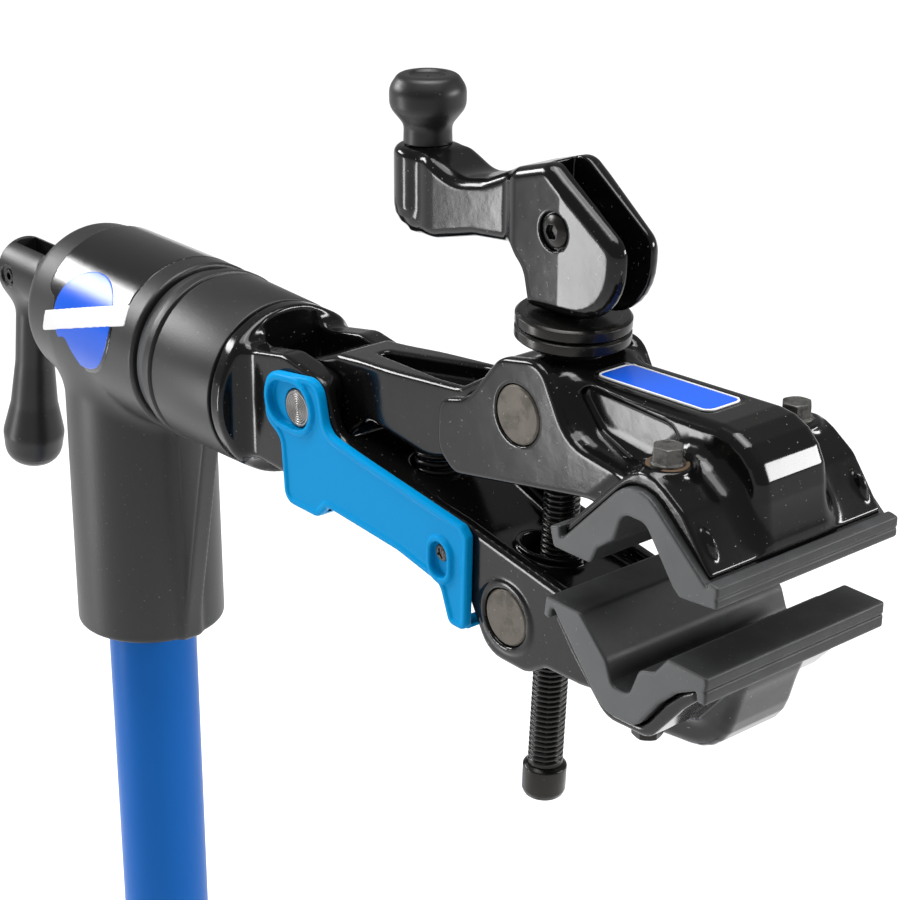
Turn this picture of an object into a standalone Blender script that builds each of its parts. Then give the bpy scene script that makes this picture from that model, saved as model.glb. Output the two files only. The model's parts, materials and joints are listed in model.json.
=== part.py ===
"""Bike repair stand: folding base, telescoping column and a rotating, cam-locked tube clamp.

Lengths are millimetres here and become metres when a mesh is made. The head's parts are
laid out in the head frame: its origin is where the column's axis meets the barrel's axis,
+X is the way the clamp points and +Z is up. The column's foot stands on the world origin.
"""
import math

import bmesh
import bpy
from mathutils import Matrix, Vector

MM = 0.001
GAP = 0.3                    # clearance kept between touching pieces
FACETS = 32                  # sides of a large round piece
SMALL_FACETS = 20            # sides of a pin, bolt or bush

# Column and base
HEAD_Z = 1000.0              # barrel axis above the floor at the lowest setting
TUBE_R = 19.05               # 1.5 inch upper tube
TUBE_WALL = 2.0
UPPER_TUBE_TOP = HEAD_Z - 24.0 - GAP
UPPER_TUBE_BOTTOM = 180.0
OUTER_R = 25.4               # 2 inch lower tube
OUTER_WALL = 2.0
OUTER_TUBE_TOP = 600.0
FOOT_H = 12.0
HUB_Z = (280.0, 330.0)
LEG_SPREAD = math.radians(42)
LEG_PIN_RADIUS = 52.0
LEG_REACH = 500.0
LEG_R = 14.0
COLLAR_Z = (556.0, 594.0)
LEVER_PIN = (-42.0, -20.6, 575.0)

# Barrel
BARREL_R = 35.4
BARREL_FRONT = 50.5
BARREL_REAR = -56.0
SOCKET_R = 31.7
SOCKET_BOTTOM = -135.8
BORE_R = 20.0
BORE_END = -36.0             # the bore narrows to the shaft behind this
SHAFT_R = 13.8
SHAFT_REAR = -54.0
REAR_PIN_X = -82.6
REAR_PIN_R = 3.0
REAR_WASHER_X = (-58.3, BARREL_REAR - 0.3)
REAR_CAM_R = (24.0, 22.4)    # cam radius when locked, and after a quarter turn
REAR_HEAD_R = 14.0

# Clamp casting
FLANGE_X = (101.0, 108.4)
FLANGE_R = 33.3
HALF_W = 22.4                # outer faces of the side plates
INNER_W = 17.6               # inner faces of the side plates
EAR_W = 12.9                 # inner faces of the ears
RIDGE_W = 15.0               # half width of the box ridges over the jaws
JAW_W = 37.5                 # half length of the jaw shells
PAD_W = 40.0                 # half length of the rubber pads
YOKE_PIN = (143.8, 8.8)
YOKE_R = 7.2
UPPER_PIN = (260.3, 41.3)
LOWER_PIN = (256.7, -32.0)
TRUNNION_R = 10.0

# Clamp screw and cam, measured along the screw from the upper pin
SCREW_LEAN = math.atan2(UPPER_PIN[0] - LOWER_PIN[0], UPPER_PIN[1] - LOWER_PIN[1])
PIN_SPACING = math.hypot(UPPER_PIN[0] - LOWER_PIN[0], UPPER_PIN[1] - LOWER_PIN[1])
ROD_R = 6.2
ROD_HOLE_R = 7.1
ROD_BOTTOM = -PIN_SPACING - 64.0
CAP_BOTTOM = -PIN_SPACING - 77.0
WASHER_R = 19.0
WASHER_T = 4.6
WASHER_TOP = 31.0
CAM_RISE = 28.4              # cam pivot above the top washer
CAM_LIFT = 0.8               # how far the cam lets the screw down when it opens
CAM_PIVOT = WASHER_TOP + CAM_RISE
CAM_W = 11.5
SLOT_W = 5.0
KNOB_X = 188.7
KNOB_Z = (112.4, 135.6)


# ---------------------------------------------------------------- helpers
def material(name, color, roughness, metallic=0.0):
    made = bpy.data.materials.new(name)
    made.use_nodes = True
    shader = made.node_tree.nodes["Principled BSDF"]
    shader.inputs["Base Color"].default_value = (*color, 1.0)
    shader.inputs["Roughness"].default_value = roughness
    shader.inputs["Metallic"].default_value = metallic
    made.diffuse_color = (*color, 1.0)
    return made


def rounded(corners, steps=4):
    """Outline through corners (a, b) or (a, b, fillet radius), with the fillets as arcs."""
    points = []
    for i, corner in enumerate(corners):
        here = Vector(corner[:2])
        radius = corner[2] if len(corner) > 2 else 0.0
        if radius <= 0:
            points.append(tuple(here))
            continue
        before = (Vector(corners[i - 1][:2]) - here).normalized()
        after = (Vector(corners[(i + 1) % len(corners)][:2]) - here).normalized()
        half = before.angle(after) / 2
        reach = radius / math.tan(half)
        centre = here + (before + after).normalized() * (radius / math.sin(half))
        start = here + before * reach - centre
        sweep = math.pi - 2 * half
        if before.x * after.y - before.y * after.x > 0:
            sweep = -sweep
        for k in range(steps + 1):
            turn = sweep * k / steps
            c, s = math.cos(turn), math.sin(turn)
            points.append((centre.x + start.x * c - start.y * s, centre.y + start.x * s + start.y * c))
    return points


def grown(outline, distance=GAP):
    """The outline moved outwards by a distance, whichever way round it runs."""
    count = len(outline)
    area = sum(outline[i - 1][0] * outline[i][1] - outline[i][0] * outline[i - 1][1] for i in range(count))
    side = math.copysign(distance, area)
    moved = []
    for i in range(count):
        here = Vector(outline[i])
        before = (here - Vector(outline[i - 1])).normalized()
        after = (Vector(outline[(i + 1) % count]) - here).normalized()
        normal = Vector((before.y + after.y, -before.x - after.x))
        reach = side / max(0.3, 1 + before.dot(after))
        moved.append(tuple(here + normal * reach))
    return moved


def arc(a, b, radius, start, end, steps):
    """Points on an arc, with its angles in degrees."""
    turns = [math.radians(start + (end - start) * k / steps) for k in range(steps + 1)]
    return [(a + radius * math.cos(t), b + radius * math.sin(t)) for t in turns]


def circle(a, b, radius, sides=SMALL_FACETS):
    turns = [2 * math.pi * k / sides for k in range(sides)]
    return [(a + radius * math.cos(t), b + radius * math.sin(t)) for t in turns]


def finish(name, bm, finish_material, origin=(0, 0, 0), frame=None):
    """Turns bm, in millimetres about the world origin, into an object whose origin is given."""
    bmesh.ops.remove_doubles(bm, verts=bm.verts, dist=1e-4)
    bmesh.ops.recalc_face_normals(bm, faces=bm.faces)
    if frame is not None:
        bm.transform(frame)
    bm.transform(Matrix.Translation(-Vector(origin)))
    bm.transform(Matrix.Scale(MM, 4))
    mesh = bpy.data.meshes.new(name)
    bm.to_mesh(mesh)
    bm.free()
    obj = bpy.data.objects.new(name, mesh)
    obj.location = Vector(origin) * MM
    bpy.context.scene.collection.objects.link(obj)
    if finish_material is not None:
        mesh.materials.append(finish_material)
    mesh.shade_smooth()
    mesh.set_sharp_from_angle(angle=math.radians(32))
    return obj


def prism_mesh(outline, low, high, plane="XZ"):
    """Outline extruded from low to high along the axis that the plane leaves out."""
    place = {
        "XZ": lambda a, b, c: (a, c, b),
        "XY": lambda a, b, c: (a, b, c),
        "YZ": lambda a, b, c: (c, a, b),
    }[plane]
    bm = bmesh.new()
    bottom = [bm.verts.new(place(a, b, low)) for a, b in outline]
    face = bm.faces.new(bottom)
    made = bmesh.ops.extrude_face_region(bm, geom=[face])
    moved = [v for v in made["geom"] if isinstance(v, bmesh.types.BMVert)]
    bmesh.ops.translate(bm, verts=moved, vec=place(0, 0, high - low))
    return bm


def lathe_mesh(profile, axis="Z", centre=(0, 0, 0), sides=FACETS):
    """Closed profile of (radius, height) turned about an axis through the centre."""
    bm = bmesh.new()
    verts = [bm.verts.new((r, 0, h)) for r, h in profile]
    edges = [bm.edges.new((verts[i - 1], verts[i])) for i in range(len(verts))]
    bmesh.ops.spin(
        bm, geom=verts + edges, cent=(0, 0, 0), axis=(0, 0, 1), angle=2 * math.pi, steps=sides
    )
    turn = {
        "Z": Matrix.Identity(4),
        "X": Matrix.Rotation(math.pi / 2, 4, "Y"),
        "Y": Matrix.Rotation(-math.pi / 2, 4, "X"),
    }[axis]
    bmesh.ops.remove_doubles(bm, verts=bm.verts, dist=1e-3)
    bmesh.ops.dissolve_degenerate(bm, edges=bm.edges, dist=1e-4)
    bm.transform(Matrix.Translation(centre) @ turn)
    return bm


def rod_mesh(radius, low, high, axis="Z", centre=(0, 0, 0), sides=SMALL_FACETS):
    return lathe_mesh([(0, low), (radius, low), (radius, high), (0, high)], axis, centre, sides)


def box_mesh(low, high):
    return prism_mesh(
        [(low[0], low[1]), (high[0], low[1]), (high[0], high[1]), (low[0], high[1])],
        low[2],
        high[2],
        "XY",
    )


def combine(target, bm, operation, origin=(0, 0, 0), frame=None):
    """Adds a Boolean to target whose other operand is bm, kept as a hidden helper."""
    helper = finish(f"{target.name}_helper_{len(target.modifiers)}", bm, None, origin, frame)
    helper.hide_render = True
    helper.display_type = "WIRE"
    modifier = target.modifiers.new(operation.lower(), "BOOLEAN")
    modifier.operation = operation
    modifier.solver = "EXACT"
    modifier.object = helper
    return helper


def cut(target, bm, frame=None):
    combine(target, bm, "DIFFERENCE", frame=frame)


def join(target, bm, frame=None):
    combine(target, bm, "UNION", frame=frame)


def head(point, y=0.0):
    """World millimetres of a head-frame (x, z)."""
    return (point[0], y, HEAD_Z + point[1])


HEAD_FRAME = Matrix.Translation((0, 0, HEAD_Z))
SCREW_FRAME = Matrix.Translation(head(UPPER_PIN)) @ Matrix.Rotation(SCREW_LEAN, 4, "Y")


def head_part(name, bm, look, at=None):
    return finish(name, bm, look, head(at) if at else (0, 0, HEAD_Z), HEAD_FRAME)


def screw_part(name, bm, look, along=0.0):
    """A piece laid out along the leaning screw; its origin is on the screw's axis."""
    origin = SCREW_FRAME @ Vector((0, 0, along))
    return finish(name, bm, look, tuple(origin), SCREW_FRAME)


# ---------------------------------------------------------------- base
def make_base(looks):
    foot = [(0, 0), (34, 0), (34, 7), (31, FOOT_H), (OUTER_R - OUTER_WALL - GAP, FOOT_H)]
    foot += [(OUTER_R - OUTER_WALL - GAP, 42), (0, 42)]
    finish("column_foot", lathe_mesh(foot), looks["rubber"])
    low = FOOT_H + GAP
    wall = [(OUTER_R - OUTER_WALL, low), (OUTER_R, low)]
    wall += [(OUTER_R, OUTER_TUBE_TOP), (OUTER_R - OUTER_WALL, OUTER_TUBE_TOP)]
    finish("lower_tube", lathe_mesh(wall), looks["blue_paint"])
    bush = [(TUBE_R + GAP, 520), (OUTER_R - OUTER_WALL - GAP, 520)]
    bush += [(OUTER_R - OUTER_WALL - GAP, OUTER_TUBE_TOP + GAP), (OUTER_R, OUTER_TUBE_TOP + GAP)]
    bush += [(OUTER_R, OUTER_TUBE_TOP + 6), (TUBE_R + GAP, OUTER_TUBE_TOP + 6)]
    finish("tube_bush", lathe_mesh(bush), looks["black_plastic"])


def make_height_collar(looks):
    inner = OUTER_R + GAP
    ring = lathe_mesh([(inner, COLLAR_Z[0]), (32, COLLAR_Z[0]), (32, COLLAR_Z[1]), (inner, COLLAR_Z[1])])
    collar = finish("height_collar", ring, looks["black_plastic"])
    join(collar, box_mesh((-54, -14, COLLAR_Z[0] + 5), (-29, 14, COLLAR_Z[1] - 5)))
    cut(collar, box_mesh((-60, -2, COLLAR_Z[0] - 5), (-20, 2, COLLAR_Z[1] + 5)))
    x, y, z = LEVER_PIN
    cut(collar, rod_mesh(4.6, -20, 20, "Y", (x, 0, z)))
    shaft = [(0, y - 5), (4.3, y - 5), (4.3, 14 + GAP), (7, 14 + GAP), (7, 20), (0, 20)]
    bolt = finish("collar_bolt", lathe_mesh(shaft, "Y", (x, 0, z), SMALL_FACETS), looks["zinc"])
    cut(bolt, rod_mesh(2.4, -10, 10, "Z", (x, y, z), 12))
    finish("collar_lever_pin", rod_mesh(2.1, -11, 11, "Z", LEVER_PIN, 12), looks["zinc"], LEVER_PIN)
    outline = arc(0, 0, 40, -140, -48, 10) + arc(0, 0, 34.5, -46, -142, 10)
    outline += arc(x, y, 6.2, 75, 270, 9)
    lever = finish("collar_lever", prism_mesh(outline, z - 11, z + 11, "XY"), looks["black_plastic"], LEVER_PIN)
    cut(lever, box_mesh((x - 20, y - 20, z - 5), (x + 7.5, y + 20, z + 5)))
    cut(lever, rod_mesh(2.4, -20, 20, "Z", LEVER_PIN, 12))


def make_leg_hub(looks):
    inner = OUTER_R + GAP
    ring = lathe_mesh([(inner, HUB_Z[0]), (33, HUB_Z[0]), (33, HUB_Z[1]), (inner, HUB_Z[1])])
    hub = finish("leg_hub", ring, looks["black_plastic"])
    for side in (1, -1):
        turn = Matrix.Rotation(side * LEG_SPREAD, 4, "Z")
        ear = rounded([(28, -16), (LEG_PIN_RADIUS + 14, -16, 13), (LEG_PIN_RADIUS + 14, 16, 13), (28, 16)])
        for low in (HUB_Z[0], HUB_Z[1] - 8):
            join(hub, prism_mesh(ear, low, low + 8, "XY"), turn)
        cut(hub, rod_mesh(4.4, HUB_Z[0] - 5, HUB_Z[1] + 5, "Z", (LEG_PIN_RADIUS, 0, 0)), turn)
    cut(hub, rod_mesh(3.4, -40, -20, "X", (0, 0, sum(HUB_Z) / 2), 12))
    screw = [(0, -37), (3.1, -37), (3.1, -OUTER_R - GAP), (0, -OUTER_R - GAP)]
    finish("hub_set_screw", lathe_mesh(screw, "X", (0, 0, sum(HUB_Z) / 2), 12), looks["zinc"])


def make_leg(side_name, side, looks):
    """One leg: end block on a vertical pin, sloping tube and rubber foot."""
    turn = Matrix.Rotation(side * LEG_SPREAD, 4, "Z")
    pin = turn @ Vector((LEG_PIN_RADIUS, 0, sum(HUB_Z) / 2))
    low, high = HUB_Z[0] + 8 + GAP, HUB_Z[1] - 8 - GAP
    start = Vector((LEG_PIN_RADIUS + 30, 0, sum(HUB_Z) / 2))
    end = Vector((LEG_REACH, 0, 17))
    slope = (end - start).to_track_quat("Z", "Y").to_matrix().to_4x4()
    along = Matrix.Translation(start) @ slope
    length = (end - start).length
    outline = rounded(
        [(LEG_PIN_RADIUS - 13, -13, 12.5), (LEG_PIN_RADIUS + 40, -13, 4)]
        + [(LEG_PIN_RADIUS + 40, 13, 4), (LEG_PIN_RADIUS - 13, 13, 12.5)]
    )
    block = finish(f"leg_block_{side_name}", prism_mesh(outline, low, high, "XY"), looks["black_plastic"], pin, turn)
    join(block, rod_mesh(LEG_R + 1.6, -8, 24), turn @ along)
    join(block, rod_mesh(LEG_R - 1.5 - GAP, 10, 60), turn @ along)
    cut(block, rod_mesh(4.4, low - 20, high + 20, "Z", (LEG_PIN_RADIUS, 0, 0)), turn)
    tube = [(LEG_R - 1.5, 24 + GAP), (LEG_R, 24 + GAP), (LEG_R, length - 8), (LEG_R - 1.5, length - 8)]
    finish(f"leg_tube_{side_name}", lathe_mesh(tube, sides=24), looks["blue_paint"], pin, turn @ along)
    foot = finish(f"leg_foot_{side_name}", rod_mesh(LEG_R + 3.5, length - 42, length + 12), looks["rubber"], pin, turn @ along)
    pad = lathe_mesh([(0, -12), (21, -12), (21, 9), (17, 14), (0, 14)], centre=(LEG_REACH, 0, 0), sides=24)
    join(foot, pad, turn)
    cut(foot, rod_mesh(LEG_R + GAP, length - 60, length - 7.6, sides=24), turn @ along)
    cut(foot, box_mesh((LEG_REACH - 80, -60, -60), (LEG_REACH + 80, 60, 0)), turn)
    bolt = [(0, HUB_Z[0] - 7), (7, HUB_Z[0] - 7), (7, HUB_Z[0] - GAP), (4, HUB_Z[0] - GAP)]
    bolt += [(4, HUB_Z[1] + GAP), (7, HUB_Z[1] + GAP), (7, HUB_Z[1] + 6), (0, HUB_Z[1] + 6)]
    centre = (pin.x, pin.y, 0)
    finish(f"leg_pin_{side_name}", lathe_mesh(bolt, "Z", centre, SMALL_FACETS), looks["zinc"])


# ---------------------------------------------------------------- mast and barrel
def make_mast(looks):
    inner = TUBE_R - TUBE_WALL
    wall = [(inner, UPPER_TUBE_BOTTOM), (TUBE_R, UPPER_TUBE_BOTTOM)]
    wall += [(TUBE_R, UPPER_TUBE_TOP), (inner, UPPER_TUBE_TOP)]
    finish("upper_tube", lathe_mesh(wall), looks["blue_paint"])
    low = UPPER_TUBE_BOTTOM - 12
    glide = [(0, low), (OUTER_R - OUTER_WALL - GAP, low), (OUTER_R - OUTER_WALL - GAP, UPPER_TUBE_BOTTOM - GAP)]
    glide += [(inner - GAP, UPPER_TUBE_BOTTOM - GAP), (inner - GAP, low + 35), (0, low + 35)]
    finish("mast_glide", lathe_mesh(glide), looks["black_plastic"])


def barrel_profile():
    """Outer barrel as (radius, x): straight from the front rim, then domed down to the rear face."""
    front = [(BARREL_R - 0.6, BARREL_FRONT), (BARREL_R, BARREL_FRONT - 1.5)]
    dome = [(BARREL_R, -8), (34.8, -18), (33.8, -25), (32.2, -32), (29, -38), (25.2, -44), (21.2, -50), (17.6, BARREL_REAR)]
    return front + dome


def make_head_housing(looks):
    outer = [(0, BARREL_FRONT)] + barrel_profile() + [(0, BARREL_REAR)]
    housing = head_part("head_housing", lathe_mesh(outer[::-1], "X"), looks["grained_plastic"])
    socket = [(0, SOCKET_BOTTOM), (SOCKET_R - 1, SOCKET_BOTTOM), (SOCKET_R, SOCKET_BOTTOM + 1), (SOCKET_R - 0.6, -8), (0, -8)]
    join(housing, lathe_mesh(socket), HEAD_FRAME)
    rib = [(20, -20), (50.3, -20), (50.3, -34), (52.5, -36), (52.3, -40), (31, SOCKET_BOTTOM + 0.5), (20, SOCKET_BOTTOM + 0.5)]
    join(housing, prism_mesh(rib, -4, 4), HEAD_FRAME)
    cut(housing, rod_mesh(BORE_R, BORE_END, BARREL_FRONT + 5, "X", sides=FACETS), HEAD_FRAME)
    cut(housing, rod_mesh(SHAFT_R + GAP, BARREL_REAR - 5, BORE_END + 5, "X", sides=FACETS), HEAD_FRAME)
    cut(housing, rod_mesh(TUBE_R + GAP, SOCKET_BOTTOM - 5, -24, sides=FACETS), HEAD_FRAME)
    for name, low, high in (("rear_bush", BORE_END + GAP, -16.0), ("front_bush", 26.0, 46.0)):
        ring = [(SHAFT_R + GAP, low), (BORE_R - GAP, low), (BORE_R - GAP, high), (SHAFT_R + GAP, high)]
        head_part(name, lathe_mesh(ring, "X"), looks["bronze"])
    seal = [(SHAFT_R + GAP, BARREL_FRONT + GAP), (33.2, BARREL_FRONT + GAP), (33.2, 57.7), (SHAFT_R + GAP, 57.7)]
    head_part("barrel_seal", lathe_mesh(seal, "X"), looks["rubber"])


# ---------------------------------------------------------------- rotating clamp
def make_shaft(looks):
    end = FLANGE_X[0] - GAP
    shaft = head_part("main_shaft", rod_mesh(SHAFT_R, SHAFT_REAR, end, "X", sides=FACETS), looks["zinc"])
    eye = rounded([(-50, -5), (REAR_PIN_X - 5.2, -5, 4.8), (REAR_PIN_X - 5.2, 5, 4.8), (-50, 5)])
    join(shaft, prism_mesh(eye, -4.4, 4.4), HEAD_FRAME)
    cut(shaft, rod_mesh(REAR_PIN_R + GAP, -10, 10, "Y", (REAR_PIN_X, 0, 0)), HEAD_FRAME)
    cut(shaft, rod_mesh(5 + GAP, end - 24, end + 5, "X"), HEAD_FRAME)
    bolt = [(0, end - 20), (5, end - 20), (5, FLANGE_X[1] + GAP), (9, FLANGE_X[1] + GAP)]
    bolt += [(9, FLANGE_X[1] + 7), (0, FLANGE_X[1] + 7)]
    head_part("shaft_bolt", lathe_mesh(bolt, "X", sides=SMALL_FACETS), looks["zinc"])
    low, high = 58.0, FLANGE_X[0] - GAP
    profile = [(SHAFT_R + GAP, low), (34.4, low), (35.2, low + 0.8), (35.2, low + 4.2), (34.2, low + 5)]
    profile += [(34.4, low + 5.8), (33.6, high), (SHAFT_R + GAP, high)]
    head_part("clamp_collar", lathe_mesh(profile, "X"), looks["grained_plastic"])
    low, high = REAR_WASHER_X
    washer = [(9, low), (14, low), (14, high), (9, high)]
    head_part("rear_washer", lathe_mesh(washer, "X"), looks["zinc"])


def make_rear_lever(looks):
    """Cam lever behind the barrel: slotted round head on a cross pin and a teardrop handle."""
    front = REAR_WASHER_X[0] - GAP
    profile = [(0, front), (REAR_HEAD_R, front), (REAR_HEAD_R, -88), (REAR_HEAD_R - 3, -91.4), (0, -91.4)]
    bm = lathe_mesh(profile[::-1], "X", sides=FACETS)
    lever = head_part("rear_cam_lever", bm, looks["black_plastic"], (REAR_PIN_X, 0))
    handle = [(0, -8), (8.6, -8), (8.8, -45), (10.2, -61), (13.1, -78), (13.2, -84), (11.4, -90), (6, -95), (0, -96)]
    tilt = Matrix.Translation((REAR_PIN_X + 1, 0, 0)) @ Matrix.Rotation(math.radians(8.5), 4, "Y")
    join(lever, lathe_mesh(handle[::-1], sides=24), HEAD_FRAME @ tilt)
    slot = rounded([(REAR_PIN_X - 6.2, -6.4, 6), (-40, -6.4), (-40, 30), (REAR_PIN_X - 6.2, 30)])
    cut(lever, prism_mesh(slot, -SLOT_W, SLOT_W), HEAD_FRAME)
    steps = 8
    lead, trail = REAR_CAM_R
    relief = []
    for k in range(steps + 1):
        turn = math.radians(100 * k / steps)
        radius = lead + (trail - lead) * k / steps
        relief.append((REAR_PIN_X + radius * math.cos(turn), radius * math.sin(turn)))
    relief += [(REAR_PIN_X - 2, 40), (REAR_PIN_X + 40, 40), (REAR_PIN_X + 40, 0)]
    cut(lever, prism_mesh(relief, -40, 40), HEAD_FRAME)
    cut(lever, rod_mesh(REAR_PIN_R + GAP, -30, 30, "Y", (REAR_PIN_X, 0, 0)), HEAD_FRAME)
    pin = rod_mesh(REAR_PIN_R, -13.2, 13.2, "Y", (REAR_PIN_X, 0, 0))
    head_part("rear_cam_pin", pin, looks["zinc"], (REAR_PIN_X, 0))


def clamp_side_outline():
    """Ears and lower arm, seen from the side."""
    return rounded(
        [(105, -20), (105, 21), (134, 26.2, 9), (158, 21.5, 7), (165, 4, 7), (186, 0.2, 20), (233, -4.8)]
        + [(289, -14), (312, -22), (312, -40), (292, -43), (276, -43.4, 6), (268, -49.5, 8)]
        + [(246, -49.5, 12), (234, -28, 10), (160, -26, 8), (132, -21, 6)]
    )


def lower_shell_outline():
    """Shell under the lower pad, following the pad's underside."""
    inner = [(297.0, -6.6), (307.4, -18.6), (321, -33.9, 8), (335.5, -33.5, 5), (344.5, -21.6), (351, -15.3), (357, -11.5)]
    outer = [(357, -15.8), (351.5, -21), (338.5, -36.4, 6), (319.5, -37.2, 10), (303, -20.4), (294.2, -9.6)]
    return rounded(inner + outer, 3)


def make_clamp_body(looks):
    flange = [(0, FLANGE_X[0]), (FLANGE_R, FLANGE_X[0]), (FLANGE_R, FLANGE_X[1]), (0, FLANGE_X[1])]
    body = head_part("clamp_body", lathe_mesh(flange, "X"), looks["gloss_black"])
    join(body, prism_mesh(clamp_side_outline(), -HALF_W, HALF_W), HEAD_FRAME)
    join(body, prism_mesh(lower_shell_outline(), -JAW_W, JAW_W), HEAD_FRAME)
    ridge = rounded([(276, -26), (276, -45), (326, -52, 8), (346, -44, 12), (353.5, -29, 6), (353, -19), (340, -33), (320, -36)])
    join(body, prism_mesh(ridge, -RIDGE_W, RIDGE_W), HEAD_FRAME)
    ears = [(FLANGE_X[1], -60), (163, -60), (163, 60), (FLANGE_X[1], 60)]
    cut(body, prism_mesh(ears, -EAR_W, EAR_W), HEAD_FRAME)
    trough = [(150, -13), (240, -13), (287, -18), (287, 60), (150, 60)]
    cut(body, prism_mesh(trough, -INNER_W, INNER_W), HEAD_FRAME)
    under = [(150, -18), (240, -18), (274, -21.5), (274, -60), (150, -60)]
    cut(body, prism_mesh(under, -INNER_W, INNER_W), HEAD_FRAME)
    cut(body, prism_mesh(grown(lower_pad_outline()), -60, 60), HEAD_FRAME)
    for point, radius in ((YOKE_PIN, YOKE_R), (LOWER_PIN, TRUNNION_R)):
        cut(body, rod_mesh(radius + GAP, -30, 30, "Y", head(point)))
    hole = circle(254, 0, 11.8)
    cut(body, prism_mesh([(x, y * 0.75) for x, y in hole], -30, 0, "XY"), HEAD_FRAME)
    cut(body, rod_mesh(5 + GAP, FLANGE_X[0] - 5, FLANGE_X[1] + 5, "X"), HEAD_FRAME)
    for y in (-28.0, 28.0):
        cut(body, rod_mesh(2.9, -60, 0, "Z", (329, y, 0), 12), HEAD_FRAME)
    for y in (-HALF_W, HALF_W):
        cut(body, rod_mesh(2.6, -5, 5, "Y", (226.1, y, -18.6), 12), HEAD_FRAME)


def lower_pad_outline():
    return rounded(
        [(294.3, -4.2, 1), (309.6, -4.2, 2), (321.6, -15.6, 4), (324.6, -23.4, 2.5), (331.6, -23.4, 2.5)]
        + [(335.6, -13.2, 3), (342, -11.2, 3), (347, -5, 1.5), (363, -5, 1), (363, -14, 1), (358.6, -14, 1)]
        + [(358.2, -11), (351, -14.8), (344.3, -21.1), (335.2, -33.1, 5), (321, -33.5, 8), (307.4, -18.2)]
        + [(297.2, -6.2), (296.2, -11.5), (293.4, -11)],
        3,
    )


def upper_pad_outline():
    return rounded(
        [(297.1, 13.7, 1), (313.4, 13.9, 1.5), (316.2, 19.8, 2), (323.2, 25.2, 4), (326.2, 34.7, 3)]
        + [(335.6, 34.7, 4), (347.4, 19, 2), (350.4, 16.4, 1.5), (365.2, 17.8, 1), (365.2, 24.8, 1)]
        + [(361.2, 25.2, 0.6), (361.4, 22.6), (330.8, 48.7, 12.5), (300, 17.0), (299.4, 21.6, 0.5), (295.2, 20, 0.5)],
        3,
    )


def upper_shell_outline():
    inner = [(299.9, 17.6), (330.7, 49.2, 12.8), (360.4, 23.7)]
    outer = [(359.2, 26.2), (348, 41.2, 6), (331.2, 52.7, 12), (296.6, 18.6)]
    return rounded(inner + outer, 4)


def pad_bolt(name, y, z_seat, z_head, z_tip, looks):
    """Hex flange bolt through a jaw shell into its pad; the head is at z_head."""
    step = 1 if z_head > z_seat else -1
    profile = [(0, z_tip), (2.6, z_tip), (2.6, z_seat), (5.4, z_seat), (5.4, z_seat + step * 1.2)]
    profile += [(4.4, z_seat + step * 1.2), (4.4, z_head), (0, z_head)]
    head_part(name, lathe_mesh(profile, "Z", (329 if step < 0 else 332.3, y, 0), 12), looks["zinc"])


def make_lower_jaw_fittings(looks):
    pad = head_part("lower_jaw_pad", prism_mesh(lower_pad_outline(), -PAD_W, PAD_W), looks["rubber"])
    for y in (-28.0, 28.0):
        cut(pad, rod_mesh(2.9, -60, -27, "Z", (329, y, 0), 12), HEAD_FRAME)
    pad_bolt("lower_pad_bolt_near", -28.0, -37.3, -42.6, -27.4, looks)
    pad_bolt("lower_pad_bolt_far", 28.0, -37.3, -42.6, -27.4, looks)
    pin = rod_mesh(YOKE_R, -HALF_W - 1.6, HALF_W + 1.6, "Y", (YOKE_PIN[0], 0, YOKE_PIN[1]), 24)
    head_part("yoke_pin", pin, looks["pin_steel"], YOKE_PIN)
    nut = rod_mesh(TRUNNION_R, -HALF_W, HALF_W, "Y", (LOWER_PIN[0], 0, LOWER_PIN[1]), 24)
    nut = head_part("barrel_nut", nut, looks["pin_steel"], LOWER_PIN)
    cut(nut, rod_mesh(ROD_HOLE_R, -PIN_SPACING - 20, -PIN_SPACING + 20), SCREW_FRAME)
    coil = [(6.5, -12.6), (9.5, -12.6), (9.5, 5.6), (6.5, 5.6)]
    head_part("lift_spring", lathe_mesh(coil, "Z", (196, 0, 0), SMALL_FACETS), looks["zinc"])


def cover_outline():
    return rounded(
        [(126.3, -0.5, 6), (126.3, 21, 9), (158.5, 25, 7), (163.5, 4.2, 6), (180, 2.6, 14), (237, -4.9, 2)]
        + [(240, -8, 2), (239.4, -43, 3), (231, -43, 3), (226, -30, 5), (203, -25.6), (163, -23, 3)]
        + [(157, -29, 4), (137.5, -29, 4), (135.6, -4.6, 3)]
    )


def make_side_cover(looks):
    outer = HALF_W + GAP + 3.4
    cover = head_part("side_cover", prism_mesh(cover_outline(), -outer, outer), looks["blue_plastic"])
    inner = HALF_W + GAP
    core = [(110, -26.4), (165, -26.6), (207, -28.4), (229, -29.5), (233, -41), (250, -41), (250, 40), (110, 40)]
    cut(cover, prism_mesh(core, -inner, inner), HEAD_FRAME)
    window = rounded([(128.4, -0.2, 7), (128.4, 18, 8), (153.6, 20.4, 8), (153.6, 0.6, 8)])
    cut(cover, prism_mesh(window, -40, 40), HEAD_FRAME)
    for y in (-outer, outer):
        cut(cover, rod_mesh(3.2, -6, 6, "Y", (226.1, y, -18.6), 16), HEAD_FRAME)
    for name, side in (("cover_screw_near", -1), ("cover_screw_far", 1)):
        low, high = sorted((side * (HALF_W - 4), side * (outer - 0.6)))
        head_part(name, rod_mesh(2.3, low, high, "Y", (226.1, 0, -18.6), 12), looks["zinc"])


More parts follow.
